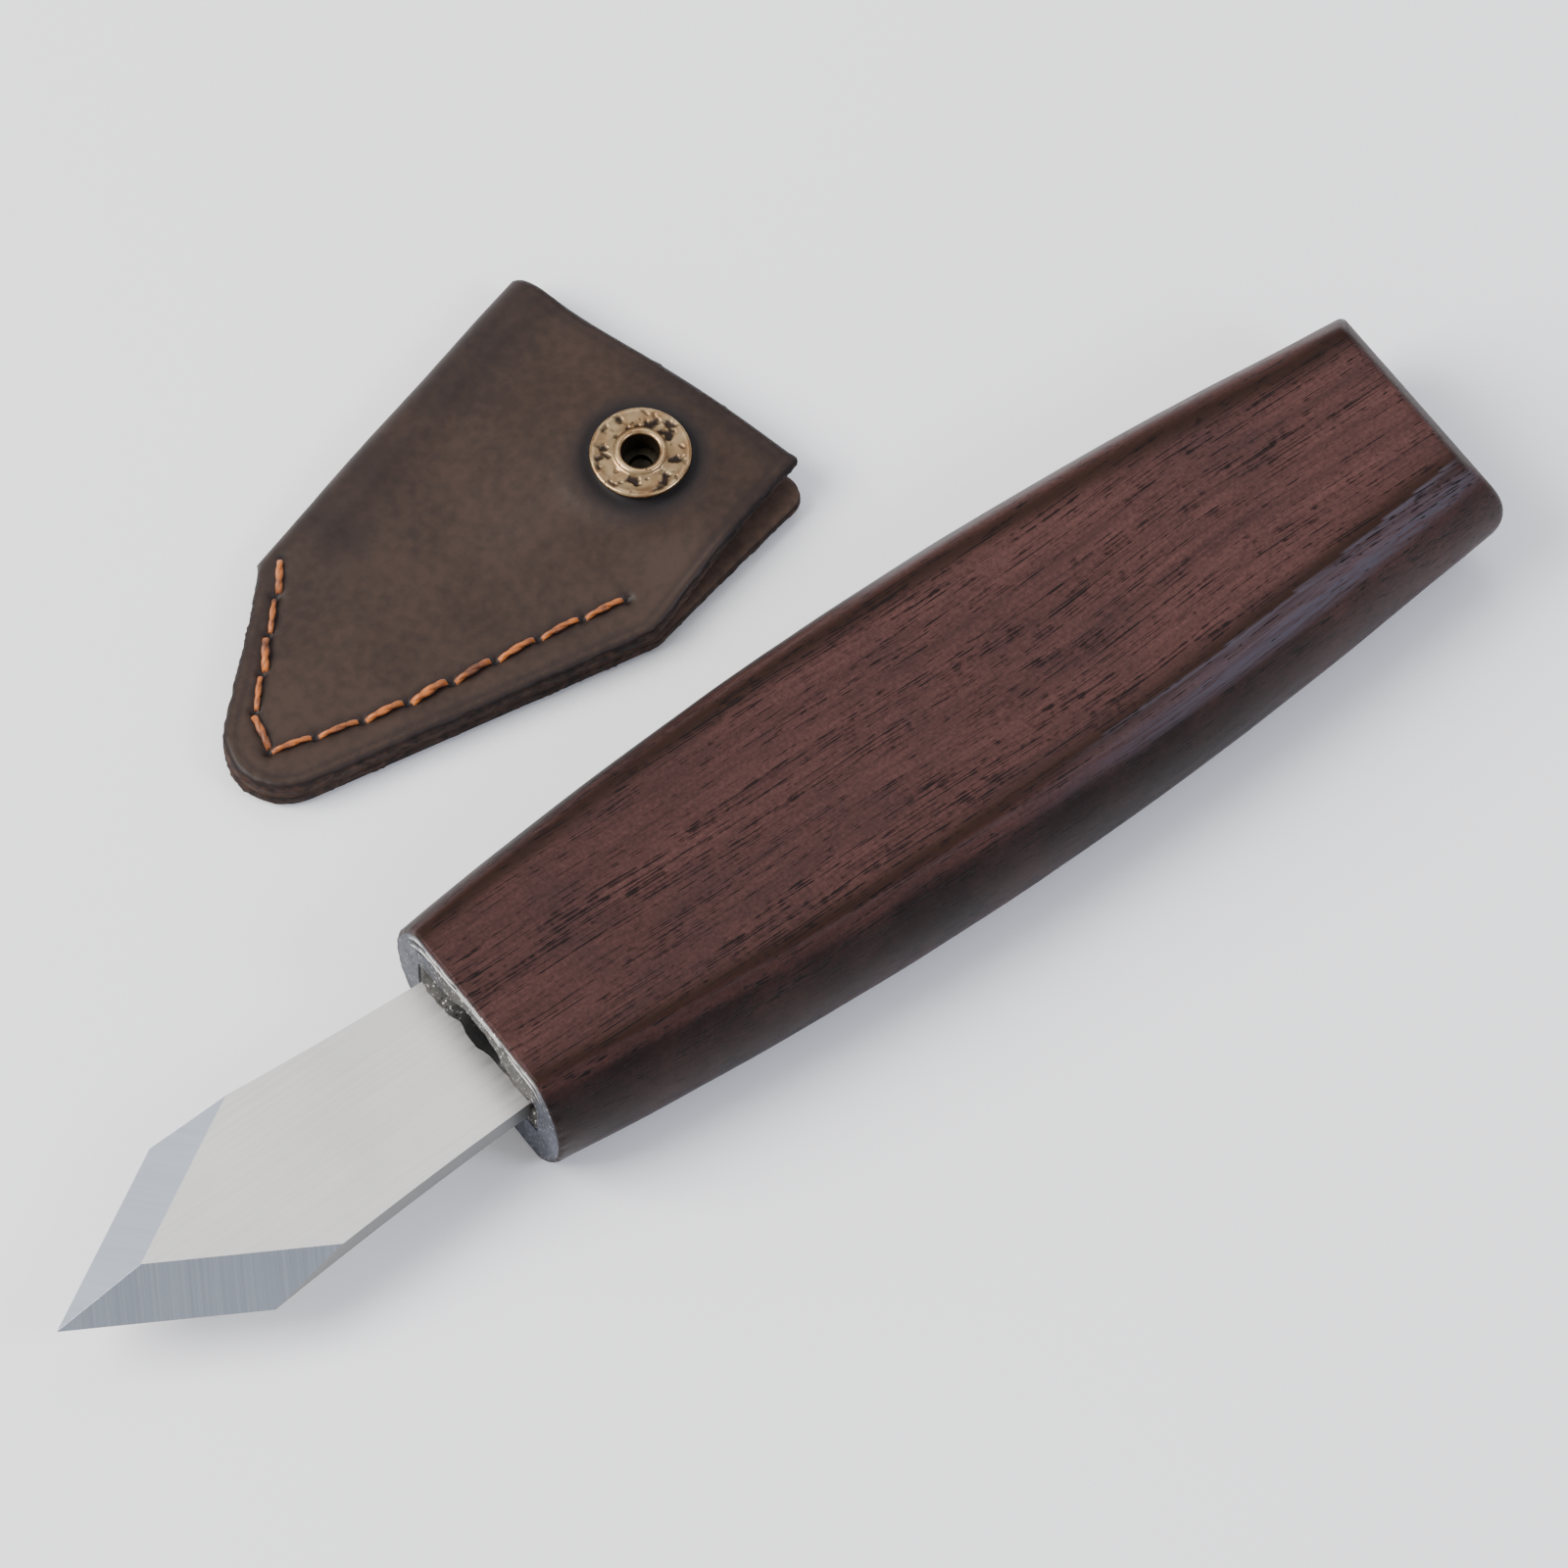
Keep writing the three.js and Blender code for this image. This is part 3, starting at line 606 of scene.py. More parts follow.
def brushed_steel(name, tone, turn, line_scale, contrast, dull, spread, upright=0.008):
    """Steel worked in one direction: fine scratches along that line, cloudy variation across it."""
    material, tree = empty_material(name)
    nodes, links = tree.nodes, tree.links
    work = nodes.new("NodeFrame")
    work.label = "Direction of the scratches"
    tint = nodes.new("NodeFrame")
    tint.label = "Tone of the steel"
    finish = nodes.new("NodeFrame")
    finish.label = "Brushed finish"

    position = nodes.new("ShaderNodeTexCoord")
    position.label = "Place on the blade"
    turned = nodes.new("ShaderNodeMapping")
    turned.label = "Turned to the scratches"
    turned.vector_type = "TEXTURE"
    turned.inputs["Rotation"].default_value = (0.0, 0.0, turn)
    stretched = nodes.new("ShaderNodeMapping")
    stretched.label = "Stretched along the scratches"
    stretched.inputs["Scale"].default_value = (line_scale * 0.008, line_scale, line_scale * upright)
    scratches = nodes.new("ShaderNodeTexNoise")
    scratches.label = "Scratches"
    scratches.inputs["Scale"].default_value = 1.0
    scratches.inputs["Detail"].default_value = 5.0
    scratches.inputs["Roughness"].default_value = 0.75

    clouds = nodes.new("ShaderNodeTexNoise")
    clouds.label = "Faint clouds"
    clouds.inputs["Scale"].default_value = 90.0
    clouds.inputs["Detail"].default_value = 3.0
    blended = nodes.new("ShaderNodeMixRGB")
    blended.label = "Scratches over clouds"
    blended.inputs["Fac"].default_value = 0.35
    strength = nodes.new("ShaderNodeMapRange")
    strength.label = "Contrast of the scratches"
    strength.inputs["From Min"].default_value = NOISE_LOW
    strength.inputs["From Max"].default_value = NOISE_HIGH
    strength.inputs["To Min"].default_value = 1.0 - contrast
    strength.inputs["To Max"].default_value = 1.0 + contrast
    shade = nodes.new("ShaderNodeMixRGB")
    shade.label = "Tone of the steel"
    shade.blend_type = "MULTIPLY"
    shade.inputs["Fac"].default_value = 1.0
    shade.inputs["Color1"].default_value = (*tone, 1)

    roughness = nodes.new("ShaderNodeMapRange")
    roughness.label = "Uneven polish"
    roughness.inputs["From Min"].default_value = NOISE_LOW
    roughness.inputs["From Max"].default_value = NOISE_HIGH
    roughness.inputs["To Min"].default_value = dull - spread
    roughness.inputs["To Max"].default_value = dull + spread
    grooves = nodes.new("ShaderNodeBump")
    grooves.label = "Depth of the scratches"
    grooves.inputs["Strength"].default_value = 0.22
    grooves.inputs["Distance"].default_value = 0.00002
    surface = nodes.new("ShaderNodeBsdfPrincipled")
    surface.label = "Steel"
    surface.inputs["Metallic"].default_value = 1.0
    output = nodes.new("ShaderNodeOutputMaterial")
    output.label = "Brushed steel"

    for node in (position, turned, stretched, scratches):
        node.parent = work
    for node in (clouds, blended, strength, shade):
        node.parent = tint
    for node in (roughness, grooves, surface, output):
        node.parent = finish

    links.new(position.outputs["Object"], turned.inputs["Vector"])
    links.new(turned.outputs["Vector"], stretched.inputs["Vector"])
    links.new(stretched.outputs["Vector"], scratches.inputs["Vector"])
    links.new(position.outputs["Object"], clouds.inputs["Vector"])
    links.new(scratches.outputs["Fac"], blended.inputs["Color1"])
    links.new(clouds.outputs["Fac"], blended.inputs["Color2"])
    links.new(blended.outputs["Color"], strength.inputs["Value"])
    links.new(strength.outputs["Result"], shade.inputs["Color2"])
    links.new(shade.outputs["Color"], surface.inputs["Base Color"])
    links.new(scratches.outputs["Fac"], roughness.inputs["Value"])
    links.new(roughness.outputs["Result"], surface.inputs["Roughness"])
    links.new(scratches.outputs["Fac"], grooves.inputs["Height"])
    links.new(grooves.outputs["Normal"], surface.inputs["Normal"])
    links.new(surface.outputs["BSDF"], output.inputs["Surface"])
    lay_out(tree)
    return material


def leather(name, light, dark, marks_and_shade, grain_scale, grain_depth, dull):
    """Dyed leather: slow mottling, darkened where it is pressed or cut and where shade is painted, and a fine
    grain.
    """
    material, tree = empty_material(name)
    nodes, links = tree.nodes, tree.links
    dye = nodes.new("NodeFrame")
    dye.label = "Mottled dye"
    wear = nodes.new("NodeFrame")
    wear.label = "Pressed and cut places"
    skin = nodes.new("NodeFrame")
    skin.label = "Grain"

    position = nodes.new("ShaderNodeTexCoord")
    position.label = "Place on the sheath"
    mottle = nodes.new("ShaderNodeTexNoise")
    mottle.label = "Slow mottling"
    mottle.inputs["Scale"].default_value = 85.0
    mottle.inputs["Detail"].default_value = 5.0
    mottle.inputs["Roughness"].default_value = 0.6
    fine_mottle = nodes.new("ShaderNodeTexNoise")
    fine_mottle.label = "Fine mottling"
    fine_mottle.inputs["Scale"].default_value = 900.0
    fine_mottle.inputs["Detail"].default_value = 4.0
    mixed_mottle = nodes.new("ShaderNodeMixRGB")
    mixed_mottle.label = "Both mottlings"
    mixed_mottle.inputs["Fac"].default_value = 0.5
    tones = nodes.new("ShaderNodeValToRGB")
    tones.label = "Tones of the dye"
    tones.color_ramp.elements[0].position = 0.4
    tones.color_ramp.elements[0].color = (*dark, 1)
    tones.color_ramp.elements[1].position = 0.6
    tones.color_ramp.elements[1].color = (*light, 1)

    # Darkening from an attribute: pressing, burnished and cut edges, with painted shade round the snap and
    # along the seam.
    marks_and_shade_amount = nodes.new("ShaderNodeAttribute")
    marks_and_shade_amount.label = "How pressed the leather is"
    marks_and_shade_amount.attribute_name = "marks_and_shade"
    darkened = nodes.new("ShaderNodeMixRGB")
    darkened.label = "Dark where pressed"
    darkened.inputs["Color2"].default_value = (*marks_and_shade, 1)

    pebbles = nodes.new("ShaderNodeTexVoronoi")
    pebbles.label = "Pebbles of the grain"
    pebbles.feature = "DISTANCE_TO_EDGE"
    pebbles.inputs["Scale"].default_value = grain_scale
    fibres = nodes.new("ShaderNodeTexNoise")
    fibres.label = "Unevenness"
    fibres.inputs["Scale"].default_value = grain_scale * 0.4
    fibres.inputs["Detail"].default_value = 6.0
    relief = nodes.new("ShaderNodeMixRGB")
    relief.label = "Pebbles and unevenness"
    relief.inputs["Fac"].default_value = 0.6
    bump = nodes.new("ShaderNodeBump")
    bump.label = "Depth of the grain"
    bump.inputs["Strength"].default_value = 0.6
    bump.inputs["Distance"].default_value = grain_depth
    roughness = nodes.new("ShaderNodeMapRange")
    roughness.label = "Uneven shine"
    roughness.inputs["From Min"].default_value = NOISE_LOW
    roughness.inputs["From Max"].default_value = NOISE_HIGH
    roughness.inputs["To Min"].default_value = dull + 0.06
    roughness.inputs["To Max"].default_value = dull - 0.06
    surface = nodes.new("ShaderNodeBsdfPrincipled")
    surface.label = "Leather"
    surface.inputs["Specular IOR Level"].default_value = 0.2
    output = nodes.new("ShaderNodeOutputMaterial")
    output.label = "Leather"

    for node in (position, mottle, fine_mottle, mixed_mottle, tones):
        node.parent = dye
    for node in (marks_and_shade_amount, darkened):
        node.parent = wear
    for node in (pebbles, fibres, relief, bump, roughness, surface, output):
        node.parent = skin

    links.new(position.outputs["Object"], mottle.inputs["Vector"])
    links.new(position.outputs["Object"], fine_mottle.inputs["Vector"])
    links.new(mottle.outputs["Fac"], mixed_mottle.inputs["Color1"])
    links.new(fine_mottle.outputs["Fac"], mixed_mottle.inputs["Color2"])
    links.new(mixed_mottle.outputs["Color"], tones.inputs["Fac"])
    links.new(tones.outputs["Color"], darkened.inputs["Color1"])
    links.new(marks_and_shade_amount.outputs["Fac"], darkened.inputs["Fac"])
    links.new(darkened.outputs["Color"], surface.inputs["Base Color"])
    links.new(position.outputs["Object"], pebbles.inputs["Vector"])
    links.new(position.outputs["Object"], fibres.inputs["Vector"])
    links.new(pebbles.outputs["Distance"], relief.inputs["Color1"])
    links.new(fibres.outputs["Fac"], relief.inputs["Color2"])
    links.new(relief.outputs["Color"], bump.inputs["Height"])
    links.new(bump.outputs["Normal"], surface.inputs["Normal"])
    links.new(mottle.outputs["Fac"], roughness.inputs["Value"])
    links.new(roughness.outputs["Result"], surface.inputs["Roughness"])
    links.new(surface.outputs["BSDF"], output.inputs["Surface"])
    lay_out(tree)
    return material


def waxed_thread(name, light, dark):
    """Waxed linen thread: unevenly dyed, fibrous and slightly shiny."""
    material, tree = empty_material(name)
    nodes, links = tree.nodes, tree.links
    dye = nodes.new("NodeFrame")
    dye.label = "Dye"
    wax = nodes.new("NodeFrame")
    wax.label = "Fibres and wax"

    position = nodes.new("ShaderNodeTexCoord")
    position.label = "Place along the seam"
    blotches = nodes.new("ShaderNodeTexNoise")
    blotches.label = "Uneven dye"
    blotches.inputs["Scale"].default_value = 520.0
    blotches.inputs["Detail"].default_value = 4.0
    tones = nodes.new("ShaderNodeValToRGB")
    tones.label = "Tones of the thread"
    tones.color_ramp.elements[0].position = 0.35
    tones.color_ramp.elements[0].color = (*dark, 1)
    tones.color_ramp.elements[1].position = 0.62
    tones.color_ramp.elements[1].color = (*light, 1)

    fibres = nodes.new("ShaderNodeTexNoise")
    fibres.label = "Fibres"
    fibres.inputs["Scale"].default_value = 5200.0
    fibres.inputs["Detail"].default_value = 3.0
    bump = nodes.new("ShaderNodeBump")
    bump.label = "Relief of the fibres"
    bump.inputs["Strength"].default_value = 0.6
    bump.inputs["Distance"].default_value = 0.00006
    surface = nodes.new("ShaderNodeBsdfPrincipled")
    surface.label = "Thread"
    surface.inputs["Roughness"].default_value = 0.42
    surface.inputs["Sheen Weight"].default_value = 0.15
    surface.inputs["Subsurface Weight"].default_value = 0.05
    surface.inputs["Subsurface Scale"].default_value = 0.0004
    output = nodes.new("ShaderNodeOutputMaterial")
    output.label = "Waxed thread"

    for node in (position, blotches, tones):
        node.parent = dye
    for node in (fibres, bump, surface, output):
        node.parent = wax

    links.new(position.outputs["Object"], blotches.inputs["Vector"])
    links.new(blotches.outputs["Fac"], tones.inputs["Fac"])
    links.new(tones.outputs["Color"], surface.inputs["Base Color"])
    links.new(position.outputs["Object"], fibres.inputs["Vector"])
    links.new(fibres.outputs["Fac"], bump.inputs["Height"])
    links.new(bump.outputs["Normal"], surface.inputs["Normal"])
    links.new(surface.outputs["BSDF"], output.inputs["Surface"])
    lay_out(tree)
    return material


def antique_metal(name, bright, warm, patina, dull):
    """Plated snap metal: worn bright on high places, dark patina in the pits."""
    material, tree = empty_material(name)
    nodes, links = tree.nodes, tree.links
    plating = nodes.new("NodeFrame")
    plating.label = "Worn plating"
    age = nodes.new("NodeFrame")
    age.label = "Patina"
    finish = nodes.new("NodeFrame")
    finish.label = "Metal"

    position = nodes.new("ShaderNodeTexCoord")
    position.label = "Place on the snap"
    wear = nodes.new("ShaderNodeTexNoise")
    wear.label = "Patches of wear"
    wear.inputs["Scale"].default_value = 620.0
    wear.inputs["Detail"].default_value = 5.0
    tones = nodes.new("ShaderNodeValToRGB")
    tones.label = "Bright and warm plating"
    tones.color_ramp.elements[0].position = 0.35
    tones.color_ramp.elements[0].color = (*warm, 1)
    tones.color_ramp.elements[1].position = 0.65
    tones.color_ramp.elements[1].color = (*bright, 1)

    pits = nodes.new("ShaderNodeAttribute")
    pits.label = "Depth of the pits"
    pits.attribute_name = "marks_and_shade"
    specks = nodes.new("ShaderNodeTexNoise")
    specks.label = "Small dark specks"
    specks.inputs["Scale"].default_value = 1900.0
    speck_share = nodes.new("ShaderNodeMapRange")
    speck_share.label = "Where the specks are"
    speck_share.inputs["From Min"].default_value = 0.62
    speck_share.inputs["From Max"].default_value = 0.72
    speck_share.inputs["To Max"].default_value = 0.8
    dark_share = nodes.new("ShaderNodeMath")
    dark_share.label = "Pits and specks"
    dark_share.operation = "MAXIMUM"
    aged = nodes.new("ShaderNodeMixRGB")
    aged.label = "Patina in the low places"
    aged.inputs["Color2"].default_value = (*patina, 1)

    roughness = nodes.new("ShaderNodeMapRange")
    roughness.label = "Duller where dark"
    roughness.inputs["To Min"].default_value = dull
    roughness.inputs["To Max"].default_value = dull + 0.3
    bump = nodes.new("ShaderNodeBump")
    bump.label = "Small dents"
    bump.inputs["Strength"].default_value = 0.35
    bump.inputs["Distance"].default_value = 0.00006
    surface = nodes.new("ShaderNodeBsdfPrincipled")
    surface.label = "Plated metal"
    surface.inputs["Metallic"].default_value = 1.0
    output = nodes.new("ShaderNodeOutputMaterial")
    output.label = "Antique metal"

    for node in (position, wear, tones):
        node.parent = plating
    for node in (pits, specks, speck_share, dark_share, aged):
        node.parent = age
    for node in (roughness, bump, surface, output):
        node.parent = finish

    links.new(position.outputs["Object"], wear.inputs["Vector"])
    links.new(position.outputs["Object"], specks.inputs["Vector"])
    links.new(wear.outputs["Fac"], tones.inputs["Fac"])
    links.new(specks.outputs["Fac"], speck_share.inputs["Value"])
    links.new(pits.outputs["Fac"], dark_share.inputs[0])
    links.new(speck_share.outputs["Result"], dark_share.inputs[1])
    links.new(tones.outputs["Color"], aged.inputs["Color1"])
    links.new(dark_share.outputs["Value"], aged.inputs["Fac"])
    links.new(aged.outputs["Color"], surface.inputs["Base Color"])
    links.new(dark_share.outputs["Value"], roughness.inputs["Value"])
    links.new(roughness.outputs["Result"], surface.inputs["Roughness"])
    links.new(wear.outputs["Fac"], bump.inputs["Height"])
    links.new(bump.outputs["Normal"], surface.inputs["Normal"])
    links.new(surface.outputs["BSDF"], output.inputs["Surface"])
    lay_out(tree)
    return material


def plain_floor(name, tone):
    """The pale sheet that the object lies on, very faintly mottled."""
    material, tree = empty_material(name)
    nodes, links = tree.nodes, tree.links
    sheet = nodes.new("NodeFrame")
    sheet.label = "Pale sheet"
    position = nodes.new("ShaderNodeTexCoord")
    position.label = "Place on the sheet"
    mottle = nodes.new("ShaderNodeTexNoise")
    mottle.label = "Faint mottling"
    mottle.inputs["Scale"].default_value = 30.0
    tones = nodes.new("ShaderNodeValToRGB")
    tones.label = "Tones of the sheet"
    tones.color_ramp.elements[0].color = tuple(0.985 * part for part in tone) + (1,)
    tones.color_ramp.elements[1].color = (*tone, 1)
    surface = nodes.new("ShaderNodeBsdfPrincipled")
    surface.label = "Matt sheet"
    surface.inputs["Roughness"].default_value = 0.9
    output = nodes.new("ShaderNodeOutputMaterial")
    output.label = "Sheet"
    for node in (position, mottle, tones, surface, output):
        node.parent = sheet
    links.new(position.outputs["Object"], mottle.inputs["Vector"])
    links.new(mottle.outputs["Fac"], tones.inputs["Fac"])
    links.new(tones.outputs["Color"], surface.inputs["Base Color"])
    links.new(surface.outputs["BSDF"], output.inputs["Surface"])
    lay_out(tree)
    return material


bevel_turn = math.atan2(SHOULDER_HALF, SHOULDER_X - TIP_X)
# Besides its own tones, the walnut gets a dark colour for the painted shade beside the ridges.
walnut = wood(
    "walnut", light=(0.059, 0.0255, 0.022), mid=(0.045, 0.0188, 0.0166), dark=(0.03, 0.0126, 0.0114),
    streak=(0.022, 0.0115, 0.0115), ridge_shade=(0.016, 0.006, 0.0035), dull_low=0.34, dull_high=0.46)
# The front face is sealed end grain; its grey-lavender ground tone is a painted reflection of light off the
# sealer.
front_grain_painted_reflection = end_grain(
    "sealed_front_painted_reflection", ground=(0.072, 0.075, 0.093), smeared=(0.024, 0.0225, 0.021), speck=(0.75, 0.73, 0.7),
    pit_and_gap_shade=(0.008, 0.007, 0.007), speck_size=2400.0, speck_limit=0.61, dull=0.5, bare_specks=0.4)
butt_grain = end_grain(
    "butt_end_grain", ground=(0.03, 0.014, 0.0125), smeared=(0.03, 0.014, 0.0125),
    speck=(0.055, 0.028, 0.024), pit_and_gap_shade=(0.008, 0.005, 0.0045), speck_size=2200.0, speck_limit=0.6, dull=0.5)
glue = end_grain(
    "dried_glue", ground=(0.06, 0.057, 0.053), smeared=(0.06, 0.057, 0.053), speck=(0.6, 0.58, 0.55),
    pit_and_gap_shade=(0.0015, 0.0015, 0.0015), speck_size=2300.0, speck_limit=0.61, dull=0.6)
blade_flat = brushed_steel(
    "blade_flat", tone=(0.605, 0.583, 0.565), turn=0.0, line_scale=3000.0, contrast=0.17, dull=0.42,
    spread=0.06)
blade_side = brushed_steel(
    "blade_side", tone=(0.2, 0.2, 0.2), turn=0.0, line_scale=3200.0, contrast=0.25, dull=0.45,
    spread=0.08, upright=1.0)
# The two bevels are the same ground steel: the far one gets a light, bluish tone as painted light and the
# near one a darker tone as painted shade.
bevel_far_painted_light = brushed_steel(
    "bevel_far_painted_light", tone=(0.73, 0.775, 0.87), turn=bevel_turn + math.pi / 2, line_scale=3600.0,
    contrast=0.06, dull=0.3, spread=0.03)
bevel_near_painted_shade = brushed_steel(
    "bevel_near_painted_shade", tone=(0.37, 0.4, 0.455), turn=-bevel_turn - math.pi / 2, line_scale=3000.0,
    contrast=0.13, dull=0.27, spread=0.04)
# The grain leather's darkest colour has a slight blue; over the fold that blue stands in for a painted sheen.
grain_leather = leather(
    "grain_leather", light=(0.0402, 0.0229, 0.016), dark=(0.026, 0.0148, 0.0108),
    marks_and_shade=(0.008, 0.0055, 0.0062), grain_scale=2600.0, grain_depth=0.00003, dull=0.5)
cut_leather = leather(
    "cut_leather", light=(0.055, 0.0255, 0.0175), dark=(0.009, 0.0055, 0.0045),
    marks_and_shade=(0.008, 0.005, 0.0045), grain_scale=1500.0, grain_depth=0.0002, dull=0.8)
flesh_leather = leather(
    "flesh_leather", light=(0.1, 0.06, 0.042), dark=(0.055, 0.034, 0.026),
    marks_and_shade=(0.035, 0.022, 0.017), grain_scale=1800.0, grain_depth=0.00015, dull=0.85)
thread = waxed_thread("waxed_thread", light=(0.43, 0.112, 0.01), dark=(0.1, 0.024, 0.003))
brass = antique_metal(
    "antique_brass", bright=(0.46, 0.33, 0.18), warm=(0.3, 0.175, 0.085), patina=(0.03, 0.022, 0.018),
    dull=0.27)
dark_brass = antique_metal(
    "tarnished_brass", bright=(0.05, 0.042, 0.03), warm=(0.025, 0.02, 0.015), patina=(0.01, 0.009, 0.008),
    dull=0.55)
spring_wire = antique_metal(
    "spring_wire", bright=(0.6, 0.6, 0.6), warm=(0.45, 0.44, 0.42), patina=(0.1, 0.1, 0.1),
    dull=0.25)


# ---- Handle ----

RING_POINTS = 288


def handle_half_width(x):
    return HALF_WIDTH - TAPER * ((x - WIDEST_X) / BUTT_X) ** 2


def even_ring(outline, count=RING_POINTS):
    """The closed outline resampled to evenly spaced points."""
    closed = np.vstack([outline, outline[:1]])
    steps = np.concatenate([[0], np.cumsum(np.linalg.norm(np.diff(closed, axis=0), axis=1))])
    wanted = np.linspace(0, steps[-1], count, endpoint=False)
    return np.stack([np.interp(wanted, steps, closed[:, k]) for k in (0, 1)], axis=1)


def handle_outline(half_width, half_height, ridge):
    """Section of the handle, counter-clockwise from the middle of the +Y side."""
    dome = (DOME_RISE ** 2 + half_height ** 2) / (2 * DOME_RISE)
    centre = half_width - dome
    ridge_y = centre + math.sqrt((dome - ridge) ** 2 - (half_height - ridge) ** 2)
    turn = math.atan2(half_height - ridge, ridge_y - centre)
    side = [(centre + dome * math.cos(a), dome * math.sin(a)) for a in np.linspace(0, turn, 24)]
    side += [(ridge_y + ridge * math.cos(a), half_height - ridge + ridge * math.sin(a))
             for a in np.linspace(turn, math.pi / 2, 16)[1:]]
    side += [(ridge_y * share, half_height) for share in np.linspace(1, 0, 20)[1:]]
    quarter = np.array(side)
    upper = np.vstack([quarter, quarter[-2::-1] * (-1, 1)])
    return np.vstack([upper, upper[-2:0:-1] * (1, -1)])


def rounded_slot(half_width, half_height, corner):
    """A slot's outline, counter-clockwise from the middle of the +Y end."""
    points = [(half_width, 0.0)]
    for turn, (y, z) in enumerate(((1, 1), (-1, 1), (-1, -1), (1, -1))):
        middle = (y * (half_width - corner), z * (half_height - corner))
        for angle in np.linspace(turn * math.pi / 2, (turn + 1) * math.pi / 2, 8):
            points.append((middle[0] + corner * math.cos(angle), middle[1] + corner * math.sin(angle)))
    return np.array(points)


def set_back(radius, distance):
    """How far a rounded edge falls back at a distance from the end face."""
    if distance >= radius:
        return 0.0
    return radius - math.sqrt(radius ** 2 - (radius - distance) ** 2)


def chipped_slot(depth):
    """The mortise's outline at a depth; its upper edge is broken out above the blade near the mouth."""
    ring = even_ring(rounded_slot(MORTISE_HALF, MORTISE_HEIGHT / 2, MORTISE_CORNER))
    y, z = ring[:, 0], ring[:, 1]
    fade = 1 - float(smooth_step(1.6, 5.0, depth))
    ragged = wander(np.column_stack([y, z, np.full(len(y), depth)]), 0.9, 4.0)
    chip = np.exp(-((y + 0.3 + 0.5 * ragged) / 3.8) ** 4) * (2.4 + 0.5 * ragged + 0.1 * y) * fade
    ring[:, 1] += chip * smooth_step(0.3, 2.0, z)
    return np.column_stack([np.full(len(y), FRONT_X + depth), y, ring[:, 1] + AXIS_Z])


def butt_bulge(z):
    """How far the domed butt stands out past its upper and lower edges at a height."""
    edge = math.sqrt(BUTT_DOME ** 2 - AXIS_Z ** 2)
    return np.sqrt(BUTT_DOME ** 2 - np.clip(z - AXIS_Z, -AXIS_Z, AXIS_Z) ** 2) - edge


def handle_sides(butt_edge):
    """Rings from the front rim to the butt's edge, each with what is painted on it."""
    rim_steps = (1 - np.cos(np.linspace(0, math.pi / 2, 6)))[1:]
    stations = [(FRONT_X, 0.0)] + [(FRONT_X + FRONT_RIM * step, 0.0) for step in rim_steps]
    stations += [(x, 0.0) for x in np.linspace(FRONT_X + FRONT_RIM, butt_edge - BUTT_RIM, 160)[1:]]
    stations += [(butt_edge - BUTT_RIM * (1 - math.sin(a)), BUTT_RIM * (1 - math.cos(a)))
                 for a in np.linspace(0, math.pi / 2, 8)[1:]]
    rings, ridges, painted_side_shades, painted_sheens, fades = [], [], [], [], []
    for x, drawn_in in stations:
        share = (x - FRONT_X) / (BUTT_X - FRONT_X)
        # The ridges are crisp at the front and softer towards the butt.
        fallen = set_back(FRONT_RIM, x - FRONT_X) + drawn_in
        half_height = AXIS_Z - fallen
        ridge = (1.3 + 2.6 * share ** 1.5) * (1 - 0.55 * smooth_step(0.9, 0.975, share))
        ring = even_ring(handle_outline(handle_half_width(x) - fallen, half_height, float(ridge)))
        bent = butt_bulge(ring[:, 1] + AXIS_Z) * np.clip((x - butt_edge + 12) / 12, 0, 1) ** 2
        rings.append(np.column_stack([x + bent, ring[:, 0], ring[:, 1] + AXIS_Z]))
        # How near each point is to a ridge on the flat's side of it, where shade is painted, and how far down
        # a side it is, where the sides are painted darker as shade.
        flat_edge = handle_half_width(x) - DOME_RISE
        beside = np.exp(-((np.abs(ring[:, 0]) - flat_edge + ridge * 0.4) / (0.9 + 0.5 * share)) ** 2)
        ridges.append(0.95 * beside * smooth_step(half_height - 1.6, half_height - 0.3, np.abs(ring[:, 1])))
        down = smooth_step(0.4, 1.6 + 1.4 * share, half_height - np.abs(ring[:, 1]))
        painted_side_shades.append(down * (np.abs(ring[:, 0]) > flat_edge - 4) * (1 - 0.4 * smooth_step(0.6, 0.9, share)))
        # The strip just below the near ridge, from the middle towards the butt, where a sheen is painted.
        below = half_height - ring[:, 1] + 0.55 * (np.abs(flat_edge + 0.4 - np.abs(ring[:, 0])))
        strip = smooth_step(0.2, 0.9, below) * (1 - smooth_step(1.9, 3.4, below))
        strip = strip * (ring[:, 0] < -flat_edge + 1)
        painted_sheens.append(strip * smooth_step(0.42, 0.72, share) * (1 - 0.6 * smooth_step(0.95, 0.99, share)))
        fades.append(np.full(RING_POINTS, 1 - float(smooth_step(butt_edge - 4, butt_edge - 1.5, x))))
    return rings, ridges, painted_side_shades, painted_sheens, fades


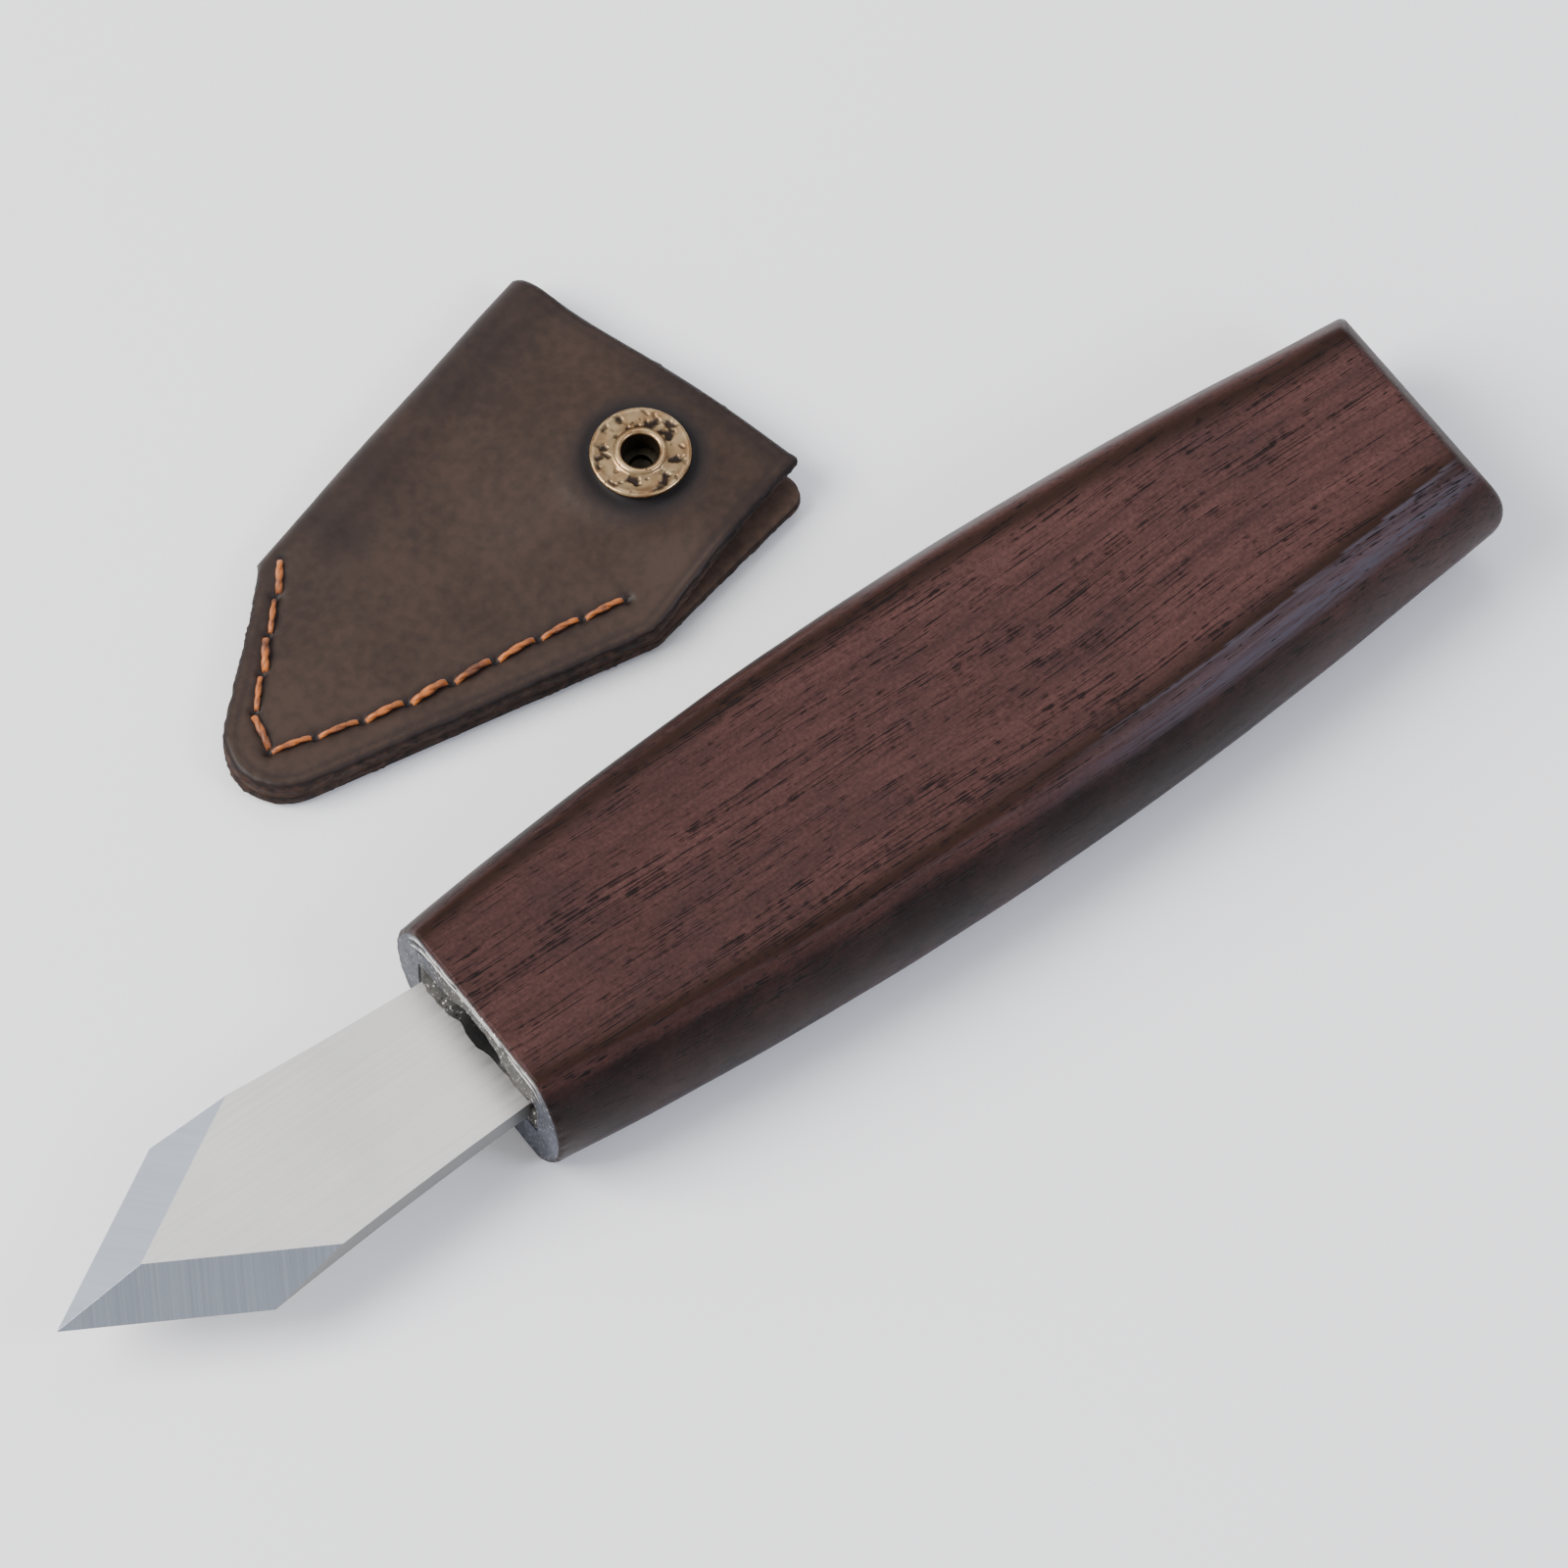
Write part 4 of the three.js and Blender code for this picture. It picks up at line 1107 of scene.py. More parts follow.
def sealed_front_painted_reflection(face_ring):
    """The front face, from the chipped mouth of the mortise out to the rim, with its dried glue."""
    slot = chipped_slot(0.0)
    reach = 4.9                           # distance inwards at which the face meets the slot
    inward = [reach, 4.75, 4.5, 4.1, 3.6, 3.1, 2.7] + list(np.arange(2.4, 0.04, -0.07))
    front, bead_highlights, gap_shades, smears = [], [], [], []
    for distance in inward:
        share = distance / reach
        ring = face_ring * (1 - share) + slot * share
        y, z = ring[:, 1], ring[:, 2]
        # Two beads of dried glue run under the upper rim, each with a dark gap below it; the beads are
        # coloured pale as painted highlights and the gaps dark as painted shade.
        drift = wander(np.column_stack([y, np.zeros((len(y), 2))]), 3.0, 6.0)
        wobble = wander(np.column_stack([y, z, z * 0]), 0.8, 3.0)
        upper = smooth_step(13.0, 14.5, face_ring[:, 2]) * (1 - smooth_step(9.3, 11.0, np.abs(y - 0.4)))
        broken = smooth_step(-0.25, 0.1, wander(np.column_stack([y, z, z * 0]), 1.3, 12.0) + 0.15)
        first = np.exp(-((distance - 0.4 - 0.08 * drift) / 0.13) ** 2) * (0.55 + 0.45 * broken)
        second = np.exp(-((distance - 1.4 - 0.25 * drift) / 0.15) ** 2) * broken
        between = np.exp(-((distance - 0.9 - 0.15 * drift) / 0.3) ** 2)
        under = np.exp(-((distance - 1.88 - 0.3 * drift) / 0.24) ** 2) * broken
        bead_highlight = np.clip(first + second, 0, 1) * upper
        gap = np.clip(between + under, 0, 1) * upper
        band = smooth_step(9.2, 10.4, z) * (1 - smooth_step(8.6, 10.2, np.abs(y + 0.2)))
        ring[:, 0] += -0.16 * bead_highlight + 0.1 * gap + 0.05 * wobble * band
        front.append(ring)
        bead_highlights.append(bead_highlight)
        gap_shades.append(gap)
        smears.append(np.maximum(band, upper) * (1 - 0.75 * smooth_step(4.5, 8.5, y)))
    return front, bead_highlights, gap_shades, smears


def domed_butt(last_ring, butt_edge):
    """Smaller and smaller copies of the last ring, laid on the butt's dome."""
    butt = []
    for share in (0.96, 0.88, 0.76, 0.62, 0.48, 0.34, 0.2, 0.08):
        smaller = last_ring.copy()
        smaller[:, 1] *= share
        smaller[:, 2] = AXIS_Z + (smaller[:, 2] - AXIS_Z) * share
        smaller[:, 0] = butt_edge + butt_bulge(smaller[:, 2])
        butt.append(smaller)
    return butt


def hand_sanded(points, inside, fades):
    """Slow waves on the faces, and a slightly ragged rim at the front."""
    outward = points - (0, 0, AXIS_Z)
    outward[:, 0] = 0
    outward /= np.maximum(np.linalg.norm(outward, axis=1), 1e-6)[:, None]
    waves = wander(points, 14.0, 3.1) * 0.1 + wander(points, 4.0, 7.7) * 0.02
    ragged = wander(points, 0.9, 11.0) * 0.14 * np.exp(-((points[:, 0] - FRONT_X) / 0.7) ** 2)
    movable = np.zeros(len(points))
    movable[inside * RING_POINTS:(inside + len(fades)) * RING_POINTS] = np.concatenate(fades)
    points = points + outward * ((waves * smooth_step(0.0, 1.0, points[:, 0] - FRONT_X) + ragged)
                                 * movable)[:, None]
    points[:, 2] = np.clip(points[:, 2], 0.0, 2 * AXIS_Z + 0.1)
    return points


def make_handle():
    butt_edge = BUTT_X - float(butt_bulge(AXIS_Z))
    rings, ridges, painted_side_shades, painted_sheens, fades = handle_sides(butt_edge)
    inner = [chipped_slot(depth) for depth in (MORTISE_DEPTH, 30.0, 12.0, 5.0, 3.4, 2.4, 1.6, 0.9, 0.4)]
    front, bead_highlights, gap_shades, smears = sealed_front_painted_reflection(rings[0])
    butt = domed_butt(rings[-1], butt_edge)
    points, faces = stitch_rings(inner + front + rings + butt)
    inside = len(inner) + len(front)
    side, front_face, butt_face = range(3)
    kinds = []
    for index in range(len(faces)):
        ring = index // RING_POINTS
        kinds.append(front_face if ring < inside else butt_face if ring >= inside + len(rings) - 3 else side)
    # The end fans come after the rings: first the mortise floor, then the butt.
    kinds[-2 * RING_POINTS:-RING_POINTS] = [front_face] * RING_POINTS

    points = hand_sanded(points, inside, fades)
    piece = make_mesh("walnut_handle", points, faces, [walnut, front_grain_painted_reflection, butt_grain], kinds)
    blank = [np.zeros(RING_POINTS)]
    after = blank * (len(rings) + len(butt))
    # Pale painted highlight along the glue beads.
    paint(piece, "bead_highlight", blank * len(inner) + bead_highlights + after)
    # The mortise walls and the gaps on the front face are painted near-black as shade.
    paint(piece, "gap", [np.ones(RING_POINTS)] * len(inner) + gap_shades + after)
    paint(piece, "smear", blank * len(inner) + smears + after)
    # Painted shade on the flat beside the ridges.
    paint(piece, "ridge", blank * inside + ridges + blank * len(butt))
    # Painted shade on the domed sides.
    paint(piece, "flank", blank * inside + painted_side_shades + blank * len(butt))
    # Painted sheen along the near ridge.
    paint(piece, "painted_sheen", blank * inside + painted_sheens + blank * len(butt))
    point_outwards(piece)
    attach(piece, "knife")
    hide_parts("handle")


# ---- Blade ----

def blade_flank(y_sign):
    """Side of the blade from the shoulder to the handle, with its slight waist."""
    points = []
    for t in np.linspace(0, 1, 15):
        x = SHOULDER_X + (FRONT_X - SHOULDER_X) * t
        y = SHOULDER_HALF + (NECK_HALF - SHOULDER_HALF) * t - 4 * WAIST * t * (1 - t)
        points.append((x, y_sign * y))
    return points


def make_blade():
    near = [(TIP_X, 0.0)] + blade_flank(-1)
    near += [(NECK_END_X, -NECK_HALF), (NECK_END_X, -TANG_HALF), (TANG_END_X, -TANG_END_HALF)]
    far = [(x, -y) for x, y in near[:0:-1]]
    plan = near + far
    mesh = bmesh.new()
    low = [mesh.verts.new((x, y, BLADE_LOW)) for x, y in plan]
    high = [mesh.verts.new((x, y, BLADE_HIGH)) for x, y in plan]
    mesh.faces.new(low[::-1])
    mesh.faces.new(high)
    count = len(plan)
    for k in range(count):
        mesh.faces.new((low[k], low[(k + 1) % count], high[(k + 1) % count], high[k]))
    slope = (BLADE_HIGH - BLADE_LOW - EDGE_LAND) / BEVEL_WIDTH
    for side in (1, -1):
        inward = Vector((math.sin(bevel_turn), -side * math.cos(bevel_turn), 0))
        normal = (Vector((0, 0, 1)) - inward * slope).normalized()
        cut = bmesh.ops.bisect_plane(
            mesh, geom=mesh.verts[:] + mesh.edges[:] + mesh.faces[:], dist=1e-5,
            plane_co=Vector((TIP_X, 0, BLADE_LOW + EDGE_LAND)), plane_no=normal, clear_outer=True)
        rim = [part for part in cut["geom_cut"] if isinstance(part, bmesh.types.BMEdge)]
        bmesh.ops.contextual_create(mesh, geom=rim)
    bmesh.ops.remove_doubles(mesh, verts=mesh.verts, dist=1e-4)
    bmesh.ops.recalc_face_normals(mesh, faces=mesh.faces)
    level, far_bevel, near_bevel, flank = range(4)
    for face in mesh.faces:
        face.material_index = level
        if 0.3 < face.normal.z < 0.98:
            face.material_index = far_bevel if face.normal.y > 0 else near_bevel
        elif abs(face.normal.z) < 0.3:
            face.material_index = flank
    bmesh.ops.scale(mesh, vec=(MM, MM, MM), verts=mesh.verts)
    data = bpy.data.meshes.new("steel_blade")
    mesh.to_mesh(data)
    mesh.free()
    for material in (blade_flat, bevel_far_painted_light, bevel_near_painted_shade, blade_side):
        data.materials.append(material)
    piece = put_in_scene("steel_blade", data)
    crisp = piece.modifiers.new("eased_edges", "BEVEL")
    crisp.width = 0.07 * MM
    crisp.segments = 2
    crisp.limit_method = "ANGLE"
    crisp.angle_limit = math.radians(18)
    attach(piece, "knife")
    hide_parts("blade")


def make_glue():
    """Glue round the tang: a plug with the tang's hollow, rough at its mouth, broken out above."""
    count = 360
    gap = 0.04
    outer = even_ring(rounded_slot(MORTISE_HALF - gap, MORTISE_HEIGHT / 2 - gap, MORTISE_CORNER), count)
    half = (BLADE_HIGH - BLADE_LOW) / 2 + gap
    mouth = even_ring(rounded_slot(NECK_HALF + gap, half, 0.1), count)
    tang = even_ring(rounded_slot(TANG_HALF + gap, half, 0.1), count)
    tang_end = even_ring(rounded_slot(TANG_END_HALF + gap, half, 0.1), count)
    rings = []

    def add(ring, x):
        rings.append(np.column_stack([np.full(count, x), ring[:, 0], ring[:, 1] + AXIS_Z]))

    add(tang_end, TANG_END_X + gap)
    add(tang, NECK_END_X + 0.2)
    add(mouth, NECK_END_X + 0.1)
    for depth in (3.0, 2.0, 1.2, 0.7, 0.35, 0.15):
        add(mouth, FRONT_X + depth)
    for share in (0.1, 0.22, 0.36, 0.5, 0.64, 0.78, 0.9):
        add(mouth * (1 - share) + outer * share, FRONT_X + 0.1)
    for depth in (0.12, 0.3, 0.7, 1.2, 2.0, 3.0, 4.5, 8.0, 20.0, MORTISE_DEPTH - 0.4):
        add(outer, FRONT_X + depth)
    points, faces = stitch_rings(rings)
    # The mouth is lumpy; glue has broken out above the blade, along a crack and at the near end.
    y, z = points[:, 1], points[:, 2] - AXIS_Z
    at_mouth = np.exp(-((points[:, 0] - FRONT_X) / 1.6) ** 2)
    lumps = wander(points, 1.3, 5.0) * 0.16 + wander(points, 0.5, 9.0) * 0.05
    edge = 0.5 * wander(points, 0.8, 2.0)
    hollow = smooth_step(0.5, 1.0, z) * np.exp(-((y + 0.3 + edge) / 3.9) ** 6)
    fillet = smooth_step(1.2, 1.3, z) * (1 - smooth_step(1.45, 2.5, z))
    fillet = fillet * smooth_step(2.2, 4.2, y) * (1 - smooth_step(8.0, 9.2, y)) * (1 + 0.4 * edge)
    sunk = smooth_step(1.42, 1.8, z) * hollow
    film = hollow * (1 - smooth_step(1.4, 1.7, z)) * np.exp(-((y - 0.4 + edge) / 1.9) ** 4)
    crack = smooth_step(2.1, 2.4, z + 0.2 * edge) * np.exp(-((y - 5.4) / 2.3) ** 6)
    near_end = smooth_step(0.2, 0.8, z) * np.exp(-((y + 8.9 + 0.4 * edge) / 0.8) ** 4)
    shift = at_mouth * (lumps * (1 - hollow) + 3.6 * sunk + 0.9 * crack + 1.4 * near_end - 0.1 * hollow)
    shift = np.maximum(shift, -0.3) - at_mouth * (0.8 * np.maximum(fillet, 0) + 0.5 * film)
    shift[:3 * count] = 0
    points[:, 0] += shift
    piece = make_mesh("tang_glue", points, faces, [glue])
    # The void above the blade, with the thin film of glue on the blade inside it, the crack and the near end
    # are painted near-black as shade.
    paint(piece, "gap", [np.maximum.reduce([hollow, 0.9 * crack, 0.9 * near_end])])
    point_outwards(piece)
    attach(piece, "knife")
    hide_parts("tang_bedding")


# ---- Sheath ----

def seam_holes():
    """Where the thread passes through; the long last leg of the seam wanders a little off straight."""
    holes = [SEAM_PATH[0]]
    for leg, count in enumerate(SEAM_STITCHES):
        start, end = np.array(SEAM_PATH[leg]), np.array(SEAM_PATH[leg + 1])
        along = (end - start) / np.linalg.norm(end - start)
        aside = np.array([along[1], -along[0]]) * (SEAM_BOW if leg == 2 else 0.0)
        holes += [start + (end - start) * t + aside * math.sin(1.6 * math.pi * t)
                  for t in np.arange(1, count + 1) / count]
    return np.array(holes)


SEAM_HOLES = seam_holes()


def distance_to_path(s, r, path):
    best = np.full(np.shape(s), 1e9)
    for (s0, r0), (s1, r1) in zip(path[:-1], path[1:]):
        length2 = max((s1 - s0) ** 2 + (r1 - r0) ** 2, 1e-9)
        t = np.clip(((s - s0) * (s1 - s0) + (r - r0) * (r1 - r0)) / length2, 0, 1)
        best = np.minimum(best, np.hypot(s - s0 - t * (s1 - s0), r - r0 - t * (r1 - r0)))
    return best


def rounded_outline(corners, step=0.42):
    """Closed outline through (s, r, radius) corners, as evenly spaced points."""
    places = [np.array(corner[:2], float) for corner in corners]
    dense = []
    for k, corner in enumerate(places):
        back = places[k - 1] - corner
        ahead = places[(k + 1) % len(places)] - corner
        back /= np.linalg.norm(back)
        ahead /= np.linalg.norm(ahead)
        half = math.acos(np.clip(back @ ahead, -1, 1)) / 2
        radius = corners[k][2]
        if radius < 0.05:
            dense.append(corner)
            continue
        middle = corner + (back + ahead) / np.linalg.norm(back + ahead) * radius / math.sin(half)
        start = corner + back * radius / math.tan(half) - middle
        end = corner + ahead * radius / math.tan(half) - middle
        a0, a1 = math.atan2(start[1], start[0]), math.atan2(end[1], end[0])
        sweep = (a1 - a0 + math.pi) % (2 * math.pi) - math.pi
        for t in np.linspace(0, 1, 14):
            angle = a0 + sweep * t
            dense.append(middle + radius * np.array([math.cos(angle), math.sin(angle)]))
    closed = np.array(dense)
    length = np.linalg.norm(np.diff(np.vstack([closed, closed[:1]]), axis=0), axis=1).sum()
    return even_ring(closed, int(length / step))


FOLD_CENTRE = 2.0 + LEATHER / 2            # r where the leather starts to curve into the fold
FOLD_ARC = 3.6                             # length of leather in a quarter of the fold

FRONT_CORNERS = (
    (0.0, 0.0, 0.0), (FOLD_LENGTH, 0.0, 0.3), (*TIP_CORNER, TIP_RADIUS), (FREE_EDGE, MOUTH_WIDTH, 0.8),
    (-0.6, MOUTH_WIDTH - 0.5, 0.12))
BACK_CORNERS = (
    (0.0, 0.0, 0.0), (FOLD_LENGTH, 0.0, 0.3), (*TIP_CORNER, TIP_RADIUS),
    (FREE_EDGE - 0.4, MOUTH_WIDTH + 0.2, 1.5), (0.3, MOUTH_WIDTH + 1.7, 2.2))


def leather_heights(s, r):
    """Underside of the rear layer and the room between the layers."""
    from_snap = np.hypot(s - SNAP_CENTRE[0], r - SNAP_CENTRE[1])
    underside = 0.38 + 0.72 * (1 - smooth_step(5.6, 20, from_snap))
    from_seam = distance_to_path(s, r, SEAM_HOLES)
    belly = smooth_step(0.8, 13, from_seam)
    room = 0.06 + belly * (0.75 + 1.6 * np.exp(-(from_snap / 13) ** 2))
    at_snap = 1 - smooth_step(4.5, 8.0, from_snap)
    room = room + 1.2 * np.exp(-(r / 5) ** 2) * (1 - smooth_step(34, 46, s))
    room = room * (1 - at_snap) + SNAP_ROOM * at_snap
    return underside, room


def layer_surface(side, s, u):
    """Middle of the front (side 1) or rear (side -1) layer. u runs from the fold's middle outwards."""
    s, u = np.asarray(s, float), np.asarray(u, float)
    r = FOLD_CENTRE + np.maximum(u, 0)
    underside, room = leather_heights(s, r)
    rear = underside + LEATHER / 2
    front = rear + LEATHER + room
    level = front if side > 0 else rear
    turn = np.clip(-u / FOLD_ARC, 0, 1.1) * math.pi / 2
    centre = (front + rear) / 2
    z = centre + (level - centre) * np.cos(turn)
    r = r - FOLD_REACH * np.sin(turn)
    return np.stack([s, r, z], axis=-1)


def surface_normals(side, s, u, step=0.05):
    ds = layer_surface(side, s + step, u) - layer_surface(side, s - step, u)
    du = layer_surface(side, s, u + step) - layer_surface(side, s, u - step)
    normal = np.cross(ds, du)
    return normal / np.linalg.norm(normal, axis=-1, keepdims=True)


def outer_point(side, s, r):
    """The point of a layer's outer surface straight above (or below) a point of the plan."""
    u = np.linspace(-FOLD_ARC, 70, 3000)
    along = np.full(len(u), float(s))
    outer = layer_surface(side, along, u) + surface_normals(side, along, u) * side * (LEATHER / 2 - 0.14)
    return np.array([s, r, np.interp(r, outer[:, 1], outer[:, 2])])


def unrolled(outline):
    """The outline with its distance from the fold measured along the leather."""
    reach = FOLD_CENTRE - FOLD_REACH
    inside = np.clip((FOLD_CENTRE - outline[:, 1]) / FOLD_REACH, 0, 1)
    curved = -np.arcsin(inside) * FOLD_ARC / (math.pi / 2)
    u = np.where(outline[:, 1] > FOLD_CENTRE, outline[:, 1] - FOLD_CENTRE, curved)
    u = np.where(outline[:, 1] <= reach + 1e-6, -FOLD_ARC * 1.04, u)
    return np.column_stack([outline[:, 0], u])


def hex_grid(low, high, step):
    rows = int((high[1] - low[1]) / (step * 0.866)) + 1
    grid = []
    for row in range(rows):
        count = int((high[0] - low[0]) / step) + 1
        s = low[0] + (row % 2) * step / 2 + np.arange(count) * step
        grid.append(np.column_stack([s, np.full(count, low[1] + row * step * 0.866)]))
    return np.concatenate(grid)


def inside_polygon(points, polygon):
    inside = np.zeros(len(points), bool)
    x, y = points[:, 0], points[:, 1]
    for (x0, y0), (x1, y1) in zip(polygon, np.roll(polygon, -1, axis=0)):
        if y0 == y1:
            continue
        crosses = (y0 > y) != (y1 > y)
        inside ^= crosses & (x < (x1 - x0) * (y - y0) / (y1 - y0) + x0)
    return inside


def cut_to_shape(corners, step):
    """The flat leather: its points, its triangles, and how far each point is from a cut edge."""
    outline = rounded_outline(corners)
    # Points nearer the fold than its outermost line belong to the line itself.
    outline[:, 1] = np.maximum(outline[:, 1], FOLD_CENTRE - FOLD_REACH)
    outline = unrolled(outline)
    outline = outline[np.linalg.norm(outline - np.roll(outline, 1, axis=0), axis=1) > 0.12]
    closed = np.vstack([outline, outline[:1]])
    cuts = [pair for pair in zip(closed[:-1], closed[1:]) if max(pair[0][1], pair[1][1]) >= -FOLD_ARC]
    grid = hex_grid(outline.min(axis=0), outline.max(axis=0), step)
    grid = grid[inside_polygon(grid, outline)]
    grid = grid[distance_to_path(grid[:, 0], grid[:, 1], closed) > step * 0.55]
    count = len(outline)
    loop = [(k, (k + 1) % count) for k in range(count)]
    result = delaunay_2d_cdt([Vector(p) for p in np.vstack([outline, grid])], loop, [], 1, 1e-6)
    flat = np.array([tuple(p) for p in result[0]])
    from_cut = np.full(len(flat), 1e9)
    for pair in cuts:
        from_cut = np.minimum(from_cut, distance_to_path(flat[:, 0], flat[:, 1], pair))
    return flat, [tuple(face) for face in result[2]], from_cut


def edges_of(triangle):
    """The triangle's three edges, each as a start and an end."""
    a, b, c = triangle
    return (a, b), (b, c), (c, a)


def layer_halves(side, u, distances, plan_points):
    """Leather outside and inside a layer's middle: eased edges, seam groove, holes, the snap's press."""
    edge, from_snap, from_seam, from_hole = distances
    eased = 0.28 * (1 - np.sqrt(np.clip(1 - (1 - np.clip(edge / 0.34, 0, 1)) ** 2, 0, 1)))
    on_flat = smooth_step(-1.2, 0.6, u)
    groove = 0.2 * np.exp(-(from_seam / 0.7) ** 2) + 0.7 * np.exp(-(from_hole / 0.38) ** 2)
    groove = groove * on_flat + 0.25 * np.exp(-(from_hole / 0.4) ** 2) * (1 - on_flat)
    groove = groove + 0.07 * np.exp(-((edge - 1.15) / 0.28) ** 2) * smooth_step(-0.5, 1.5, u)
    ring = 0.42 * np.exp(-((from_snap - SNAP_RADIUS - 0.05) / 0.75) ** 2) * (1.0 if side > 0 else 0.6)
    swell = 0.16 * np.exp(-((from_snap - SNAP_RADIUS - 2.4) / 1.1) ** 2)
    waves = 0.07 * wander(plan_points, 9.0, 2.0 + side) + 0.02 * wander(plan_points, 2.2, 5.0 + side)
    away = smooth_step(0.5, 2.5, np.abs(from_snap - SNAP_RADIUS))
    outer_half = LEATHER / 2 - eased - groove - ring + swell * away + waves * smooth_step(0.3, 1.5, edge)
    inner_half = LEATHER / 2 - 0.6 * eased + 0.03 * wander(plan_points, 1.5, 8.0)
    inner_half = np.where(from_seam < 3.0, LEATHER / 2 - 0.3 * eased, inner_half)
    return outer_half, inner_half


def marks_and_shade_places(s, r, u, distances, plan_points):
    """Darkened places: painted shade round the snap, painted groove shade with pressing at the holes and
    along the seam, and darkening along edges, over the fold, and at the mouth.
    """
    edge, from_snap, from_seam, from_hole = distances
    blotch = 0.5 + 0.9 * wander(plan_points, 6.0, 9.0) + 0.4 * wander(plan_points, 2.5, 1.0)
    return np.maximum.reduce([
        np.exp(-(np.maximum(from_snap - SNAP_RADIUS - 0.2, 0) / 1.25) ** 2),
        0.8 * np.exp(-(edge / 0.4) ** 2),
        0.45 * np.exp(-((edge - 1.15) / 0.3) ** 2),
        np.exp(-(from_hole / 0.6) ** 2),
        0.55 * np.exp(-(from_seam / 0.8) ** 2),
        (0.3 + 0.35 * blotch) * np.exp(-((u + FOLD_ARC) / 5.5) ** 2),
        0.6 * np.clip(blotch, 0, 1) * np.exp(-(np.hypot(s - 34, r - 3) / 8) ** 2),
        0.45 * np.exp(-(s / 2.2) ** 2)])


def make_leather(name, side, corners, step):
    """One layer: a grain face, a flesh face and the cut edges between them, holed for the snap."""
    flat, triangles, edge = cut_to_shape(corners, step)
    s, u = flat[:, 0], flat[:, 1]
    middle = layer_surface(side, s, u)
    normal = surface_normals(side, s, u)
    r = middle[:, 1]
    from_snap = np.hypot(s - SNAP_CENTRE[0], r - SNAP_CENTRE[1])
    from_seam = distance_to_path(s, r, SEAM_HOLES)
    from_hole = np.min([np.hypot(s - hs, r - hr) for hs, hr in SEAM_HOLES], axis=0)
    distances = (edge, from_snap, from_seam, from_hole)
    plan_points = np.column_stack([s, u, np.zeros(len(s))])
    outer_half, inner_half = layer_halves(side, u, distances, plan_points)
    top = middle + normal * (side * outer_half)[:, None]
    bottom = middle - normal * (side * inner_half)[:, None]
    # Darkening: painted shade round the snap and in the holes and seam, with the edges, fold and mouth darker
    # too.
    marks_and_shade_amount = marks_and_shade_places(s, r, u, distances, plan_points)

    # The hole for the snap: its triangles are left out and its rim is walled.
    hole_radius = FRONT_HOLE if side > 0 else REAR_HOLE
    centres = np.array([(s[list(t)].mean(), r[list(t)].mean()) for t in triangles])
    solid = np.hypot(centres[:, 0] - SNAP_CENTRE[0], centres[:, 1] - SNAP_CENTRE[1]) > hole_radius
    triangles = [t for t, kept in zip(triangles, solid) if kept]
    uses = Counter(tuple(sorted(pair)) for t in triangles for pair in edges_of(t))
    open_edges = [pair for t in triangles for pair in edges_of(t) if uses[tuple(sorted(pair))] == 1]

    total = len(flat)
    points = list(top) + list(bottom)
    marks_and_shade_amount = list(marks_and_shade_amount) + [0.3] * total
    grain, cut, flesh = range(3)
    faces, kinds = [], []
    for a, b, c in triangles:
        faces.append((a, b, c) if side > 0 else (a, c, b))
        faces.append((total + a, total + c, total + b) if side > 0 else (total + a, total + b, total + c))
        kinds += [grain, flesh]

    # Walls: a slightly bulging, fibrous cut between the two faces.
    levels = (0.1, 0.24, 0.4, 0.56, 0.72, 0.88)
    wall, outward = {}, {}
    for start, end in open_edges:
        along = flat[end] - flat[start]
        out = np.array([along[1], -along[0]])
        out /= max(np.linalg.norm(out), 1e-9)
        for vertex in (start, end):
            outward.setdefault(vertex, []).append(out)
    for vertex, directions in outward.items():
        nudge = np.mean(directions, axis=0) * 0.05
        push = layer_surface(side, *(flat[vertex] + nudge)) - layer_surface(side, *(flat[vertex] - nudge))
        push /= max(np.linalg.norm(push), 1e-9)
        free = flat[vertex][1] > -FOLD_ARC + 0.2 and from_snap[vertex] > hole_radius + 1.0
        wall[vertex] = [vertex]
        for level in levels:
            spot = top[vertex] * (1 - level) + bottom[vertex] * level
            lump = noise.noise(Vector(spot) / 0.4) * 0.17 + noise.noise(Vector(spot) / 1.7) * 0.12
            bulge = (0.12 * math.sin(math.pi * level) + lump) if free else 0.0
            fibre = noise.noise(Vector(spot) / 0.7) + 0.5 * noise.noise(Vector(spot) / 0.3)
            marks_and_shade_amount.append(0.35 + 0.9 * fibre + 0.45 * abs(2 * level - 1) ** 3)
            wall[vertex].append(len(points))
            points.append(spot + push * bulge)
        wall[vertex].append(total + vertex)
    for start, end in open_edges:
        for k in range(len(levels) + 1):
            a, b = wall[start][k], wall[start][k + 1]
            c, d = wall[end][k + 1], wall[end][k]
            faces.append((a, b, c, d) if side > 0 else (a, d, c, b))
            kinds.append(cut)

    used = sorted({vertex for face in faces for vertex in face})
    renumber = {old: new for new, old in enumerate(used)}
    faces = [tuple(renumber[vertex] for vertex in face) for face in faces]
    points = to_world(np.array(points)[used])
    piece = make_mesh(name, points, faces, [grain_leather, cut_leather, flesh_leather], kinds)
    paint(piece, "marks_and_shade", [np.array(marks_and_shade_amount)[used]])
    point_outwards(piece)
    return piece


def make_sheath_leather():
    step = 0.45
    rear = make_leather("rear_leather", -1, BACK_CORNERS, step)
    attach(rear, "sheath")
    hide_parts("sheath_back", "sheath_fold")
    front = make_leather("front_leather", 1, FRONT_CORNERS, step)
    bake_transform(front)
    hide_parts("sheath_front", "sheath_flap")


# ---- Stitches ----

